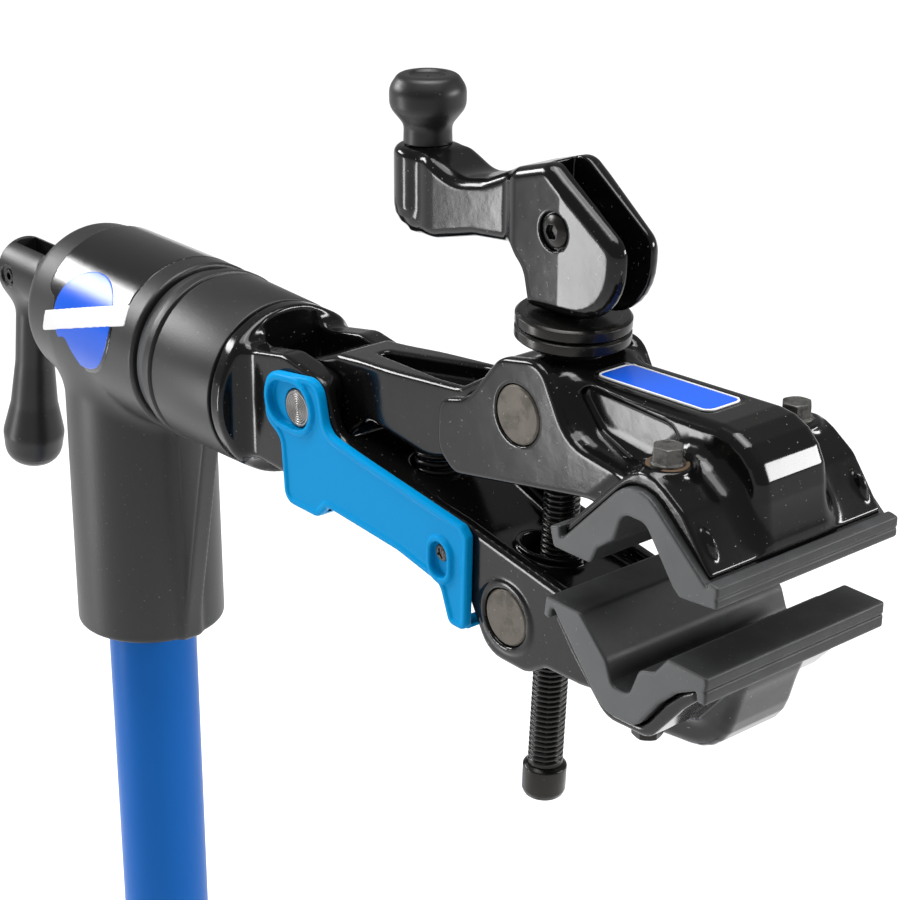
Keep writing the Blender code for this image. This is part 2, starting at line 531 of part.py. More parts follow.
# ---------------------------------------------------------------- upper arm and jaw
def make_upper_arm(looks):
    eye = (UPPER_PIN[0], UPPER_PIN[1])
    outline = rounded(
        [(131, 0, 8), (131, 21, 9), (153, 29.6, 6), (222, 37.4)]
        + [(eye[0] - 12, eye[1] + 12, 9), (eye[0] + 12, eye[1] + 12, 10), (eye[0] + 12, eye[1] - 12, 10)]
        + [(232, 15), (206, 6.4, 20), (170, 10.6), (157, -3, 9)]
    )
    slim = EAR_W - GAP
    arm = head_part("upper_arm", prism_mesh(outline, -slim, slim), looks["gloss_black"], YOKE_PIN)
    wide = rounded(
        [(178, 31.5), (222, 37.4), (eye[0] - 12, eye[1] + 12, 9), (eye[0] + 12, eye[1] + 12, 10)]
        + [(eye[0] + 12, eye[1] - 12, 10), (232, 15), (206, 6.4, 20), (178, 9)]
    )
    join(arm, prism_mesh(wide, -14.2, 14.2), HEAD_FRAME)
    join(arm, rod_mesh(12, -INNER_W + GAP, INNER_W - GAP, "Y", head(eye)), Matrix.Identity(4))
    recess = [(160, 24), (238, 33), (238, 70), (160, 70)]
    cut(arm, prism_mesh(recess, -8.5, 8.5), HEAD_FRAME)
    cut(arm, prism_mesh([(243, -20), (290, -20), (290, 80), (243, 80)], -9, 9), HEAD_FRAME)
    cut(arm, rod_mesh(YOKE_R + GAP, -30, 30, "Y", head(YOKE_PIN)))
    cut(arm, rod_mesh(TRUNNION_R + GAP, -30, 30, "Y", head(UPPER_PIN)))


def jaw_side_outline():
    return rounded(
        [(220.4, 17, 8), (220.6, 35, 6), (235.5, 40, 12), (251, 59.5, 10), (274, 61.5, 9), (288, 36.8, 14)]
        + [(312, 36.0), (312, 30), (299, 24.2), (229, 10.4, 7)]
    )


def make_upper_jaw(looks):
    jaw = head_part("upper_jaw", prism_mesh(jaw_side_outline(), -HALF_W, HALF_W), looks["gloss_black"], UPPER_PIN)
    join(jaw, prism_mesh(upper_shell_outline(), -JAW_W, JAW_W), HEAD_FRAME)
    ridge = rounded(
        [(246, 55), (250, 58.2, 2), (286, 57.2), (343, 59.8, 7), (357.4, 53, 8), (357.6, 28.6)]
        + [(331, 52), (318, 44), (300, 30), (284, 40), (276, 50)]
    )
    join(jaw, prism_mesh(ridge, -RIDGE_W, RIDGE_W), HEAD_FRAME)
    room = [(210, -10), (274, -10), (275, 54.6), (245, 54.6), (210, 50)]
    cut(jaw, prism_mesh(room, -INNER_W, INNER_W), HEAD_FRAME)
    cut(jaw, prism_mesh([(230, 58.1), (283, 58.1), (283, 70), (230, 70)], -INNER_W, INNER_W), HEAD_FRAME)
    cut(jaw, prism_mesh(grown(upper_pad_outline()), -60, 60), HEAD_FRAME)
    cut(jaw, rod_mesh(TRUNNION_R + GAP, -30, 30, "Y", head(UPPER_PIN)))
    cut(jaw, rod_mesh(ROD_HOLE_R, 0, 60), SCREW_FRAME)
    badge = rounded([(279, -9, 4), (330, -9, 4), (330, 9, 4), (279, 9, 4)], 3)
    tilt = Matrix.Translation(head((279, 56.9))) @ Matrix.Rotation(-math.atan(2.6 / 57), 4, "Y")
    cut(jaw, prism_mesh([(x - 279, y) for x, y in badge], -0.3, 10, "XY"), tilt)
    for y in (-28.0, 28.0):
        cut(jaw, rod_mesh(2.9, 20, 80, "Z", (332.3, y, 0), 12), HEAD_FRAME)
    plate = rounded([(280, -8, 3.4), (329, -8, 3.4), (329, 8, 3.4), (280, 8, 3.4)], 3)
    finish("jaw_badge", prism_mesh([(x - 279, y) for x, y in plate], 0.0, 0.6, "XY"), looks["blue_label"], head(UPPER_PIN), tilt)
    pad = head_part("upper_jaw_pad", prism_mesh(upper_pad_outline(), -PAD_W, PAD_W), looks["rubber"], UPPER_PIN)
    for y in (-28.0, 28.0):
        cut(pad, rod_mesh(2.9, 38, 80, "Z", (332.3, y, 0), 12), HEAD_FRAME)
    pad_bolt("upper_pad_bolt_near", -28.0, 49.5, 55.6, 38.6, looks)
    pad_bolt("upper_pad_bolt_far", 28.0, 49.5, 55.6, 38.6, looks)
    pin = rod_mesh(TRUNNION_R, -HALF_W, HALF_W, "Y", (UPPER_PIN[0], 0, UPPER_PIN[1]), 24)
    pin = head_part("upper_trunnion", pin, looks["pin_steel"], UPPER_PIN)
    cut(pin, rod_mesh(ROD_HOLE_R, -20, 20), SCREW_FRAME)


# ---------------------------------------------------------------- screw and cam
def make_screw(looks):
    washer_low = WASHER_TOP - 2 * WASHER_T
    neck = [(ROD_HOLE_R, 17.9), (12.5, 17.9), (12.5, washer_low - GAP), (ROD_HOLE_R, washer_low - GAP)]
    screw_part("neck_bush", lathe_mesh(neck, sides=24), looks["black_steel"])
    for name, low in (("thrust_washer_lower", washer_low), ("thrust_washer_upper", washer_low + WASHER_T)):
        high = low + WASHER_T - GAP
        ring = [(ROD_HOLE_R, low), (WASHER_R - 0.5, low), (WASHER_R, low + 0.5)]
        ring += [(WASHER_R, high - 0.5), (WASHER_R - 0.5, high), (ROD_HOLE_R, high)]
        screw_part(name, lathe_mesh(ring), looks["black_steel"], low)
    rod = screw_part("clamp_screw", rod_mesh(ROD_R, ROD_BOTTOM, WASHER_TOP - 1.5), looks["black_steel"], CAM_PIVOT)
    eye = rounded([(-5.5, -CAM_RISE - 8), (5.5, -CAM_RISE - 8), (7, 7, 6.6), (-7, 7, 6.6)], 5)
    join(rod, prism_mesh([(x, z + CAM_PIVOT) for x, z in eye], -2.9, 2.9), SCREW_FRAME)
    join(rod, prism_mesh([(x, z + CAM_PIVOT) for x, z in eye if z > -CAM_RISE], -4.4, 4.4), SCREW_FRAME)
    cut(rod, rod_mesh(3.2 + GAP, -10, 10, "Y", (0, 0, CAM_PIVOT), 16), SCREW_FRAME)
    cut(rod, rod_mesh(3.3, ROD_BOTTOM - 2, ROD_BOTTOM + 12, sides=12), SCREW_FRAME)
    cap = [(0, CAP_BOTTOM), (6.6, CAP_BOTTOM), (7.8, CAP_BOTTOM + 1.4), (7.8, ROD_BOTTOM - GAP - 1)]
    cap += [(6.9, ROD_BOTTOM - GAP), (3, ROD_BOTTOM - GAP), (3, ROD_BOTTOM + 10), (0, ROD_BOTTOM + 10)]
    screw_part("screw_end_cap", lathe_mesh(cap, sides=24), looks["black_steel"])
    pin = rod_mesh(3.2, -CAM_W + 1.2, CAM_W - 1.2, "Y", (0, 0, CAM_PIVOT), 16)
    screw_part("cam_pivot_screw", pin, looks["zinc"], CAM_PIVOT)


def cam_outline():
    """Fork end, seen from the side: the cam face bears on the top washer."""
    pivot = SCREW_FRAME @ Vector((0, 0, CAM_PIVOT))
    px, pz = pivot.x, pivot.z - HEAD_Z
    arc = []
    for k in range(9):
        turn = math.radians(-90 + 90 * k / 8)
        radius = CAM_RISE - 0.4 - CAM_LIFT * k / 8
        arc.append((px + radius * math.cos(turn), pz + radius * math.sin(turn)))
    top = [(px + 26, pz + 2.9), (px - 1, pz + 20.8), (px - 6, pz + 20.6), (243, 115.5), (228, 109.5)]
    return [(250.6, pz - CAM_RISE + 0.5)] + arc + top + [(228, 89), (239, 88.5), (245.5, 83.5)]


def arm_outline():
    return rounded([(190, 82.8), (206, 85.5, 14), (222, 88.6, 10), (232, 89), (240, 88), (243, 115.2), (224, 109.2, 10), (213, 108, 12), (200, 111.8, 4), (190, 111.8)])


def make_cam_lever(looks):
    pivot = SCREW_FRAME @ Vector((0, 0, CAM_PIVOT))
    at = (pivot.x, pivot.z - HEAD_Z)
    lever = head_part("cam_lever", prism_mesh(cam_outline(), -CAM_W, CAM_W), looks["gloss_black"], at)
    join(lever, prism_mesh(arm_outline(), -CAM_W + 1, CAM_W - 1), HEAD_FRAME)
    post = [(0, 82.4), (7, 82.4), (10.6, 84.6), (12.2, 88.5), (12.2, 109.2), (9.8, 111.8), (0, 111.8)]
    join(lever, lathe_mesh(post, centre=(KNOB_X, 0, 0), sides=24), HEAD_FRAME)
    slot = [(at[0] - 9.5, 60), (300, 60), (300, 130), (at[0] - 7.5, 130)]
    cut(lever, prism_mesh(slot, -SLOT_W, SLOT_W), HEAD_FRAME)
    cut(lever, rod_mesh(3.2 + GAP, -20, 20, "Y", head(at), 16))
    cut(lever, rod_mesh(3.4, 98, 120, "Z", (KNOB_X, 0, 0), 12), HEAD_FRAME)
    stud = rod_mesh(3.1, 98.4, 131, "Z", (KNOB_X, 0, 0), 12)
    head_part("knob_stud", stud, looks["zinc"], (KNOB_X, KNOB_Z[0]))
    low, high = KNOB_Z
    profile = [(3.4, low), (8.3, low), (8.2, low + 5.5), (9.6, low + 9), (12.2, low + 13), (12.9, low + 16.6)]
    profile += [(12.3, low + 19.6), (10.4, low + 22), (8, high), (6, high), (4.4, high - 1), (3.4, high - 1)]
    knob = lathe_mesh(profile, centre=(KNOB_X, 0, 0), sides=24)
    head_part("knob", knob, looks["black_plastic"], (KNOB_X, low))


# ---------------------------------------------------------------- assembly
def main():
    for obj in list(bpy.data.objects):
        bpy.data.objects.remove(obj)
    looks = {
        "blue_paint": material("blue_paint", (0.0, 0.16, 0.62), 0.35),
        "blue_plastic": material("blue_plastic", (0.0, 0.32, 0.8), 0.35),
        "blue_label": material("blue_label", (0.0, 0.1, 0.7), 0.3),
        "gloss_black": material("gloss_black", (0.012, 0.012, 0.013), 0.15),
        "grained_plastic": material("grained_plastic", (0.03, 0.03, 0.032), 0.55),
        "black_plastic": material("black_plastic", (0.025, 0.025, 0.027), 0.45),
        "rubber": material("rubber", (0.06, 0.065, 0.067), 0.75),
        "zinc": material("zinc", (0.45, 0.45, 0.44), 0.4, 1.0),
        "pin_steel": material("pin_steel", (0.32, 0.31, 0.29), 0.45, 1.0),
        "black_steel": material("black_steel", (0.04, 0.04, 0.045), 0.3, 1.0),
        "bronze": material("bronze", (0.5, 0.35, 0.16), 0.4, 1.0),
    }
    make_base(looks)
    make_height_collar(looks)
    make_leg_hub(looks)
    make_leg("left", 1, looks)
    make_leg("right", -1, looks)
    make_mast(looks)
    make_head_housing(looks)
    make_shaft(looks)
    make_rear_lever(looks)
    make_clamp_body(looks)
    make_lower_jaw_fittings(looks)
    make_side_cover(looks)
    make_upper_arm(looks)
    make_upper_jaw(looks)
    make_screw(looks)
    make_cam_lever(looks)


main()
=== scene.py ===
"""Looks of the bike repair stand: castings, plastics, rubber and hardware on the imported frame.

Shapes are written in head-frame millimetres: the origin is where the column's axis meets the
barrel's axis, +X is the way the clamp points and +Z is up. Pieces on the clamp screw are written
up the screw, from the upper trunnion.
"""
import json
import math

import bmesh
import bpy
import numpy as np
import openvdb
from mathutils import Matrix, Vector


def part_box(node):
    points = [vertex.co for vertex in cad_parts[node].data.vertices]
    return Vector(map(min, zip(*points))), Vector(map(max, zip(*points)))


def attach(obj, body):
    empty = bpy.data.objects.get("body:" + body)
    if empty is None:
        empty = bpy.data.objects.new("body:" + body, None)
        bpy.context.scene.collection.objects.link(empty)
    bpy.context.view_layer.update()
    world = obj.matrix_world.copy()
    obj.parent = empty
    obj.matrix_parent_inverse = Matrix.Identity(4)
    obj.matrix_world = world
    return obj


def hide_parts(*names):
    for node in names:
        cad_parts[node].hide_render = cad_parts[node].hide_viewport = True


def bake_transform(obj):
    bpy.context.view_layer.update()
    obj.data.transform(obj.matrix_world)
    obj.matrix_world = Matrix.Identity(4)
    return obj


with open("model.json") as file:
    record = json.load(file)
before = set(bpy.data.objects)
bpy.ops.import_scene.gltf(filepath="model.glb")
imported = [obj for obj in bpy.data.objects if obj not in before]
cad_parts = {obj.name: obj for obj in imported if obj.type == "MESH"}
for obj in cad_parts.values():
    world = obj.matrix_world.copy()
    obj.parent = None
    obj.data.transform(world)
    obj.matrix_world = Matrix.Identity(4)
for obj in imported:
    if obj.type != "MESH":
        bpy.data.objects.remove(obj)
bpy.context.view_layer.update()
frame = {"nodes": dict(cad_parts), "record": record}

MM = 0.001
JOINTS = {joint["name"]: joint for joint in frame["record"]["behaviour"]["joints"]}
HEAD_Z = JOINTS["clamp_spin"]["pos_m"][2] / MM
COARSE = 1.0


def hinge_point(name):
    """A joint's place as head-frame (x, z)."""
    x, _, z = JOINTS[name]["pos_m"]
    return x / MM, z / MM - HEAD_Z


YOKE_PIN = hinge_point("arm_hinge")
UPPER_PIN = hinge_point("jaw_hinge")
LOWER_PIN = hinge_point("nut_hinge")
CAM_PIVOT = hinge_point("cam_hinge")
REAR_PIN = hinge_point("rear_cam_hinge")
SCREW_LEAN = math.atan2(JOINTS["screw_slide"]["axis"][0], JOINTS["screw_slide"]["axis"][2])
KNOB = hinge_point("knob_spin")
TUBE_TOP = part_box("upper_tube")[1][2] / MM - HEAD_Z
TUBE_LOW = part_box("upper_tube")[0][2] / MM - HEAD_Z

HALF_W = 22.4               # outer faces of the clamp's side plates
INNER_W = 17.6              # inner faces of the side plates
EAR_W = 12.9                # inner faces of the ears
RIDGE_W = 15.0              # half width of the box ridges over the jaws
JAW_W = 37.5                # half length of the jaw shells
PAD_W = 40.0                # half length of the rubber pads
PLAY = 0.3                  # clearance round a pin or a pad
TRUNNION_R = 10.0
YOKE_R = 7.2
ROD_R = 6.2                 # clamp screw
ROD_HOLE_R = 7.1
PIVOT_HOLE_R = 3.5          # hole for the cam lever's pivot screw
WASHER_R = 19.0
WASHER_LOW = 21.8           # underside of the washer stack, up the screw
WASHER_STEP = 4.6
BARREL_R = 35.4
BARREL_X = (-56.0, 50.5)
BORE_R = 20.0
BORE_END = -36.0            # the bore narrows to the shaft behind this
SHAFT_HOLE_R = 14.1
SOCKET_FOOT = -135.8
TUBE_R = 19.05
TUBE_WALL = 2.0
REAR_HEAD_R = 14.0
COVER_DEPTH = 3.7           # how far the side cover stands off the plates
COVER_SCREW = (226.1, -18.6)
PAD_BOLT_Y = 28.0
TOP_BOLT = (332.3, 49.5, 55.6)      # x, seat and head height of the upper pad's bolts
UNDER_BOLT = (329.0, -37.3, -42.6)
SPRING_X = 196.0
LABEL_TILT = math.radians(16.5)
LABEL_MIDDLE = 13.0
BADGE_PLACE = (279, 0, 56.9)
BADGE_LEAN = -math.atan(2.6 / 57)


# ---------------------------------------------------------------- camera, light, stage
def make_camera():
    """About a metre off, looking down at the clamp from its near side."""
    place = Vector((742.6, -460.2, HEAD_Z + 297.7)) * MM
    azimuth, elevation, roll = map(math.radians, (49.64, 22.41, 0.35))
    back = Vector((
        math.sin(azimuth) * math.cos(elevation),
        -math.cos(azimuth) * math.cos(elevation),
        math.sin(elevation),
    ))
    level = Vector((math.cos(azimuth), math.sin(azimuth), 0))
    up = back.cross(level)
    right = level * math.cos(roll) + up * math.sin(roll)
    up = up * math.cos(roll) - level * math.sin(roll)
    turn = Matrix((right, up, back)).transposed().to_4x4()
    data = bpy.data.cameras.new("camera")
    data.sensor_width = 36
    data.lens = 87.95
    data.clip_start = 0.01
    camera = bpy.data.objects.new("camera", data)
    camera.matrix_world = Matrix.Translation(place) @ turn
    bpy.context.scene.collection.objects.link(camera)
    bpy.context.scene.camera = camera


def area_light(name, place, target, size, power):
    data = bpy.data.lights.new(name, "AREA")
    data.shape = "RECTANGLE"
    data.size, data.size_y = size
    data.energy = power
    light = bpy.data.objects.new(name, data)
    place = Vector(place)
    light.location = place
    light.rotation_euler = (Vector(target) - place).to_track_quat("-Z", "Y").to_euler()
    bpy.context.scene.collection.objects.link(light)


def make_world():
    world = bpy.data.worlds.new("studio")
    world.use_nodes = True
    background = world.node_tree.nodes["Background"]
    background.inputs["Color"].default_value = (1, 1, 1, 1)
    background.inputs["Strength"].default_value = 0.34
    bpy.context.scene.world = world
    bpy.context.scene.view_settings.view_transform = "Standard"


def make_lights():
    """Two side panels, a narrow strip for the cam lever's streaks, a top panel and a soft sun."""
    middle = (0.2, 0, 1.0)
    area_light("left", (-1.65, -0.85, 1.9), middle, (1.0, 0.45), 34)
    area_light("strip", (-0.655, -1.1, 0.7), (0.27, 0, 1.09), (0.2, 0.5), 6)
    area_light("right", (1.55, 1.34, 1.56), middle, (1.0, 0.25), 26)
    area_light("top", (0.4, 0.2, 2.6), middle, (1.0, 1.0), 24)
    sun = bpy.data.lights.new("overhead", "SUN")
    sun.energy = 2.6
    sun.angle = math.radians(40)
    sun = bpy.data.objects.new("overhead", sun)
    sun.rotation_euler = (math.radians(8), math.radians(-6), 0)
    bpy.context.scene.collection.objects.link(sun)


def make_floor():
    mesh = bpy.data.meshes.new("floor")
    half = 30
    corners = [(-half, -half, 0), (half, -half, 0), (half, half, 0), (-half, half, 0)]
    mesh.from_pydata(corners, [], [(0, 1, 2, 3)])
    floor = bpy.data.objects.new("floor", mesh)
    bpy.context.scene.collection.objects.link(floor)
    look = bpy.data.materials.new("pale_floor")
    look.use_nodes = True
    shader = look.node_tree.nodes["Principled BSDF"]
    shader.inputs["Base Color"].default_value = (0.93, 0.93, 0.93, 1)
    shader.inputs["Roughness"].default_value = 0.8
    mesh.materials.append(look)
    floor.location.z = -0.0005      # just under the feet


# ---------------------------------------------------------------- materials
class Look:
    """A Principled material with small helpers for its node graph."""

    def __init__(self, name, color, roughness, metallic=0.0, specular=0.5):
        self.material = bpy.data.materials.new(name)
        self.material.use_nodes = True
        self.tree = self.material.node_tree
        self.shader = self.tree.nodes["Principled BSDF"]
        self.color = color
        self.set("Base Color", (*color, 1.0))
        self.set("Roughness", roughness)
        self.set("Metallic", metallic)
        self.set("Specular IOR Level", specular)
        self.height = None
        self.tint = None

    def set(self, socket, value):
        self.shader.inputs[socket].default_value = value

    def node(self, kind, **values):
        made = self.tree.nodes.new(kind)
        for key, value in values.items():
            setattr(made, key, value)
        return made

    def noise(self, size_mm, detail=3.0, rough=0.5):
        """Noise whose blobs are about size_mm across."""
        made = self.node("ShaderNodeTexNoise")
        made.inputs["Scale"].default_value = 1.0 / (size_mm * MM)
        made.inputs["Detail"].default_value = detail
        made.inputs["Roughness"].default_value = rough
        place = self.node("ShaderNodeTexCoord").outputs["Object"]
        self.tree.links.new(place, made.inputs["Vector"])
        return made.outputs["Fac"]

    def ramp(self, source, start, end):
        """0 up to start, 1 from end on."""
        made = self.node("ShaderNodeValToRGB")
        black, white = made.color_ramp.elements
        black.position, black.color = start, (0, 0, 0, 1)
        white.position, white.color = end, (1, 1, 1, 1)
        self.tree.links.new(source, made.inputs["Fac"])
        return made.outputs["Color"]

    def bump(self, source, depth_mm):
        """Adds a bump of about depth_mm, on top of any earlier one."""
        made = self.node("ShaderNodeBump")
        made.inputs["Strength"].default_value = 1.0
        made.inputs["Distance"].default_value = depth_mm * MM
        self.tree.links.new(source, made.inputs["Height"])
        if self.height is not None:
            self.tree.links.new(self.height, made.inputs["Normal"])
        self.height = made.outputs["Normal"]
        self.tree.links.new(self.height, self.shader.inputs["Normal"])
        return self

    def vary_roughness(self, source, low, high):
        made = self.node("ShaderNodeMapRange")
        made.inputs["To Min"].default_value = low
        made.inputs["To Max"].default_value = high
        self.tree.links.new(source, made.inputs["Value"])
        self.tree.links.new(made.outputs["Result"], self.shader.inputs["Roughness"])
        return self

    def stain(self, source, color):
        """Mixes a colour in where the source is 1."""
        made = self.node("ShaderNodeMix", data_type="RGBA")
        self.tree.links.new(source, made.inputs["Factor"])
        if self.tint is None:
            made.inputs["A"].default_value = (*self.color, 1)
        else:
            self.tree.links.new(self.tint, made.inputs["A"])
        made.inputs["B"].default_value = (*color, 1)
        self.tint = made.outputs["Result"]
        self.tree.links.new(self.tint, self.shader.inputs["Base Color"])
        return self

    def dust(self, color=(0.12, 0.115, 0.105), amount=0.745):
        """Sparse, small and dull specks."""
        return self.stain(self.ramp(self.noise(1.1, 1.0), amount, amount + 0.03), color)

    def worn(self, color, amount, size_mm):
        """Soft-edged patches of another shade."""
        return self.stain(self.ramp(self.noise(size_mm, 6.0, 0.7), amount, amount + 0.14), color)

    def paint_lit_ends(self, color):
        """Painted highlight: paler on faces that look along the object's own Y axis, standing in
        for the light those faces catch.
        """
        split = self.node("ShaderNodeSeparateXYZ")
        normal = self.node("ShaderNodeTexCoord").outputs["Normal"]
        self.tree.links.new(normal, split.inputs["Vector"])
        size = self.node("ShaderNodeMath", operation="ABSOLUTE")
        self.tree.links.new(split.outputs["Y"], size.inputs[0])
        return self.stain(self.ramp(size.outputs["Value"], 0.8, 0.95), color)


SPECK = (0.06, 0.06, 0.06)
PALE_SPECK = (0.09, 0.09, 0.09)


def gloss_casting():
    look = Look("gloss_black_casting", (0.0030, 0.0028, 0.0027), 0.13, specular=0.27)
    look.vary_roughness(look.noise(22, 4.0), 0.09, 0.2)
    look.bump(look.noise(7.0, 2.0), 0.05).bump(look.noise(0.9, 2.0), 0.006).dust()
    return look.material


def grained_plastic():
    look = Look("grained_black_plastic", (0.0065, 0.0067, 0.0073), 0.4, specular=0.38)
    look.vary_roughness(look.noise(30, 3.0), 0.36, 0.46)
    look.bump(look.noise(0.7, 2.0), 0.05).dust(SPECK, 0.75)
    return look.material


def satin_plastic():
    look = Look("satin_black_plastic", (0.005, 0.005, 0.0053), 0.3, specular=0.32)
    look.vary_roughness(look.noise(18, 3.0), 0.32, 0.46)
    look.bump(look.noise(0.9, 2.0), 0.02).dust(SPECK, 0.75)
    return look.material


def grey_rubber():
    look = Look("dark_grey_rubber", (0.017, 0.0175, 0.0185), 0.5, specular=0.4)
    look.vary_roughness(look.noise(12, 4.0), 0.42, 0.6)
    # worn patches are wear; the paler end faces are painted light, standing in for the light on the
    # pads' ends
    look.worn((0.023, 0.024, 0.025), 0.5, 14.0).paint_lit_ends((0.046, 0.048, 0.05))
    look.bump(look.noise(0.6, 3.0), 0.03).dust(PALE_SPECK, 0.75)
    return look.material


def blue_coat():
    look = Look("blue_powder_coat", (0.0, 0.080, 0.32), 0.4, specular=0.1)
    look.vary_roughness(look.noise(25, 3.0), 0.3, 0.4)
    look.bump(look.noise(1.3, 2.0), 0.02).stain(look.noise(40, 2.0), (0.0, 0.086, 0.34))
    return look.material


def blue_moulding():
    look = Look("blue_moulded_plastic", (0.0, 0.2, 0.46), 0.4, specular=0.03)
    look.vary_roughness(look.noise(16, 3.0), 0.28, 0.4)
    look.bump(look.noise(1.0, 2.0), 0.015).stain(look.noise(35, 2.0), (0.0, 0.2, 0.44))
    return look.material


def blue_plate():
    look = Look("blue_badge", (0.0, 0.06, 0.46), 0.24, specular=0.35)
    look.stain(look.noise(12, 2.0), (0.0, 0.075, 0.5)).bump(look.noise(4, 2.0), 0.01)
    return look.material


def gloss_label():
    look = Look("gloss_black_label", (0.003, 0.003, 0.0035), 0.16)
    look.vary_roughness(look.noise(20, 3.0), 0.13, 0.2)
    look.bump(look.noise(9.0, 2.0), 0.03).bump(look.noise(1.0, 2.0), 0.006)
    return look.material


def scuffed_steel():
    look = Look("scuffed_pin_steel", (0.075, 0.066, 0.055), 0.5, metallic=0.7)
    look.vary_roughness(look.noise(5, 5.0), 0.42, 0.62)
    look.worn((0.045, 0.04, 0.033), 0.5, 7.0)
    look.bump(look.noise(1.2, 5.0, 0.7), 0.03).dust((0.16, 0.15, 0.13), 0.74)
    return look.material


def worn_zinc():
    look = Look("worn_zinc_steel", (0.085, 0.083, 0.078), 0.46, metallic=0.8)
    look.vary_roughness(look.noise(4, 5.0), 0.38, 0.62)
    look.worn((0.035, 0.034, 0.032), 0.5, 3.0).bump(look.noise(1.0, 5.0, 0.7), 0.04)
    return look.material


def rusty_steel():
    look = Look("rusty_washer", (0.075, 0.045, 0.02), 0.7, metallic=0.4)
    look.worn((0.09, 0.055, 0.03), 0.5, 2.5).bump(look.noise(0.8, 4.0), 0.05)
    return look.material


def black_oxide():
    look = Look("black_oxide_steel", (0.018, 0.017, 0.016), 0.22, metallic=0.75)
    look.vary_roughness(look.noise(9, 4.0), 0.18, 0.34)
    look.bump(look.noise(2.5, 3.0), 0.01).dust(PALE_SPECK, 0.75)
    return look.material


def turned_steel():
    look = Look("turned_steel", (0.13, 0.125, 0.12), 0.32, metallic=0.9)
    look.vary_roughness(look.noise(3, 4.0), 0.26, 0.4).bump(look.noise(0.7, 3.0), 0.008)
    return look.material


def pale_print():
    look = Look("pale_print", (0.6, 0.6, 0.6), 0.3)
    look.stain(look.noise(9, 2.0), (0.55, 0.55, 0.55)).bump(look.noise(4, 2.0), 0.01)
    return look.material


def bush_bronze():
    look = Look("sintered_bronze", (0.45, 0.3, 0.13), 0.42, metallic=1.0)
    look.bump(look.noise(0.5, 3.0), 0.01)
    return look.material


# ---------------------------------------------------------------- mesh helpers
def rounded(corners, steps=5):
    """Outline through corners (a, b) or (a, b, fillet radius), with the fillets as arcs."""
    points = []
    for i, corner in enumerate(corners):
        here = Vector(corner[:2])
        radius = corner[2] if len(corner) > 2 else 0.0
        if radius <= 0:
            points.append(tuple(here))
            continue
        before = (Vector(corners[i - 1][:2]) - here).normalized()
        after = (Vector(corners[(i + 1) % len(corners)][:2]) - here).normalized()
        half = before.angle(after) / 2
        reach = radius / math.tan(half)
        centre = here + (before + after).normalized() * (radius / math.sin(half))
        start = here + before * reach - centre
        sweep = math.pi - 2 * half
        if before.x * after.y - before.y * after.x > 0:
            sweep = -sweep
        for k in range(steps + 1):
            c, s = math.cos(sweep * k / steps), math.sin(sweep * k / steps)
            x, y = start.x * c - start.y * s, start.x * s + start.y * c
            points.append((centre.x + x, centre.y + y))
    return points


HEAD = Matrix.Translation((0, 0, HEAD_Z))
SCREW = (
    HEAD @ Matrix.Translation((UPPER_PIN[0], 0, UPPER_PIN[1]))
    @ Matrix.Rotation(SCREW_LEAN, 4, "Y")
)
ALONG_X = Matrix.Rotation(math.pi / 2, 4, "Y")
ALONG_Y = Matrix.Rotation(-math.pi / 2, 4, "X")


def add(name, mesh, look, body, nodes=(), sharp=None):
    """Puts a piece in the scene, on its body if it has one, in place of the CAD nodes named."""
    obj = bpy.data.objects.new(name, mesh)
    bpy.context.scene.collection.objects.link(obj)
    mesh.materials.append(look)
    mesh.shade_smooth()
    if sharp is not None:
        mesh.set_sharp_from_angle(angle=math.radians(sharp))
    if nodes:
        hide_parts(*nodes)
    if body:
        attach(obj, body)
    return obj


def mesh_of(name, bm, within=HEAD):
    """A mesh in metres from one drawn in millimetres."""
    bm.transform(within)
    bm.transform(Matrix.Scale(MM, 4))
    bmesh.ops.recalc_face_normals(bm, faces=bm.faces)
    mesh = bpy.data.meshes.new(name)
    bm.to_mesh(mesh)
    bm.free()
    return mesh


def turned(name, profile, look, body, nodes=(), at=(0, 0, 0), axis="Z", within=HEAD,
           sides=96):
    """A round piece: closed profile of (radius, height[, fillet]) about an axis."""
    points = rounded(profile, 4)
    bm = bmesh.new()
    verts = [bm.verts.new((r, 0, h)) for r, h in points]
    edges = [bm.edges.new((verts[i - 1], verts[i])) for i in range(len(verts))]
    bmesh.ops.spin(bm, geom=verts + edges, cent=(0, 0, 0), axis=(0, 0, 1), angle=2 * math.pi,
                   steps=sides)
    bmesh.ops.remove_doubles(bm, verts=bm.verts, dist=1e-3)
    turn = {"Z": Matrix.Identity(4), "X": ALONG_X, "Y": ALONG_Y}[axis]
    mesh = mesh_of(name, bm, within @ Matrix.Translation(at) @ turn)
    return add(name, mesh, look, body, nodes, sharp=35)


def soft_min(a, b, reach):
    """Union with a concave fillet of about that reach."""
    blend = np.maximum(reach - np.abs(a - b), 0) / reach
    return np.minimum(a, b) - blend * blend * reach * 0.25


def soft_max(a, b, reach):
    return -soft_min(-a, -b, reach)


def near(a, b):
    return np.minimum(a, b)


def both(a, b):
    return np.maximum(a, b)


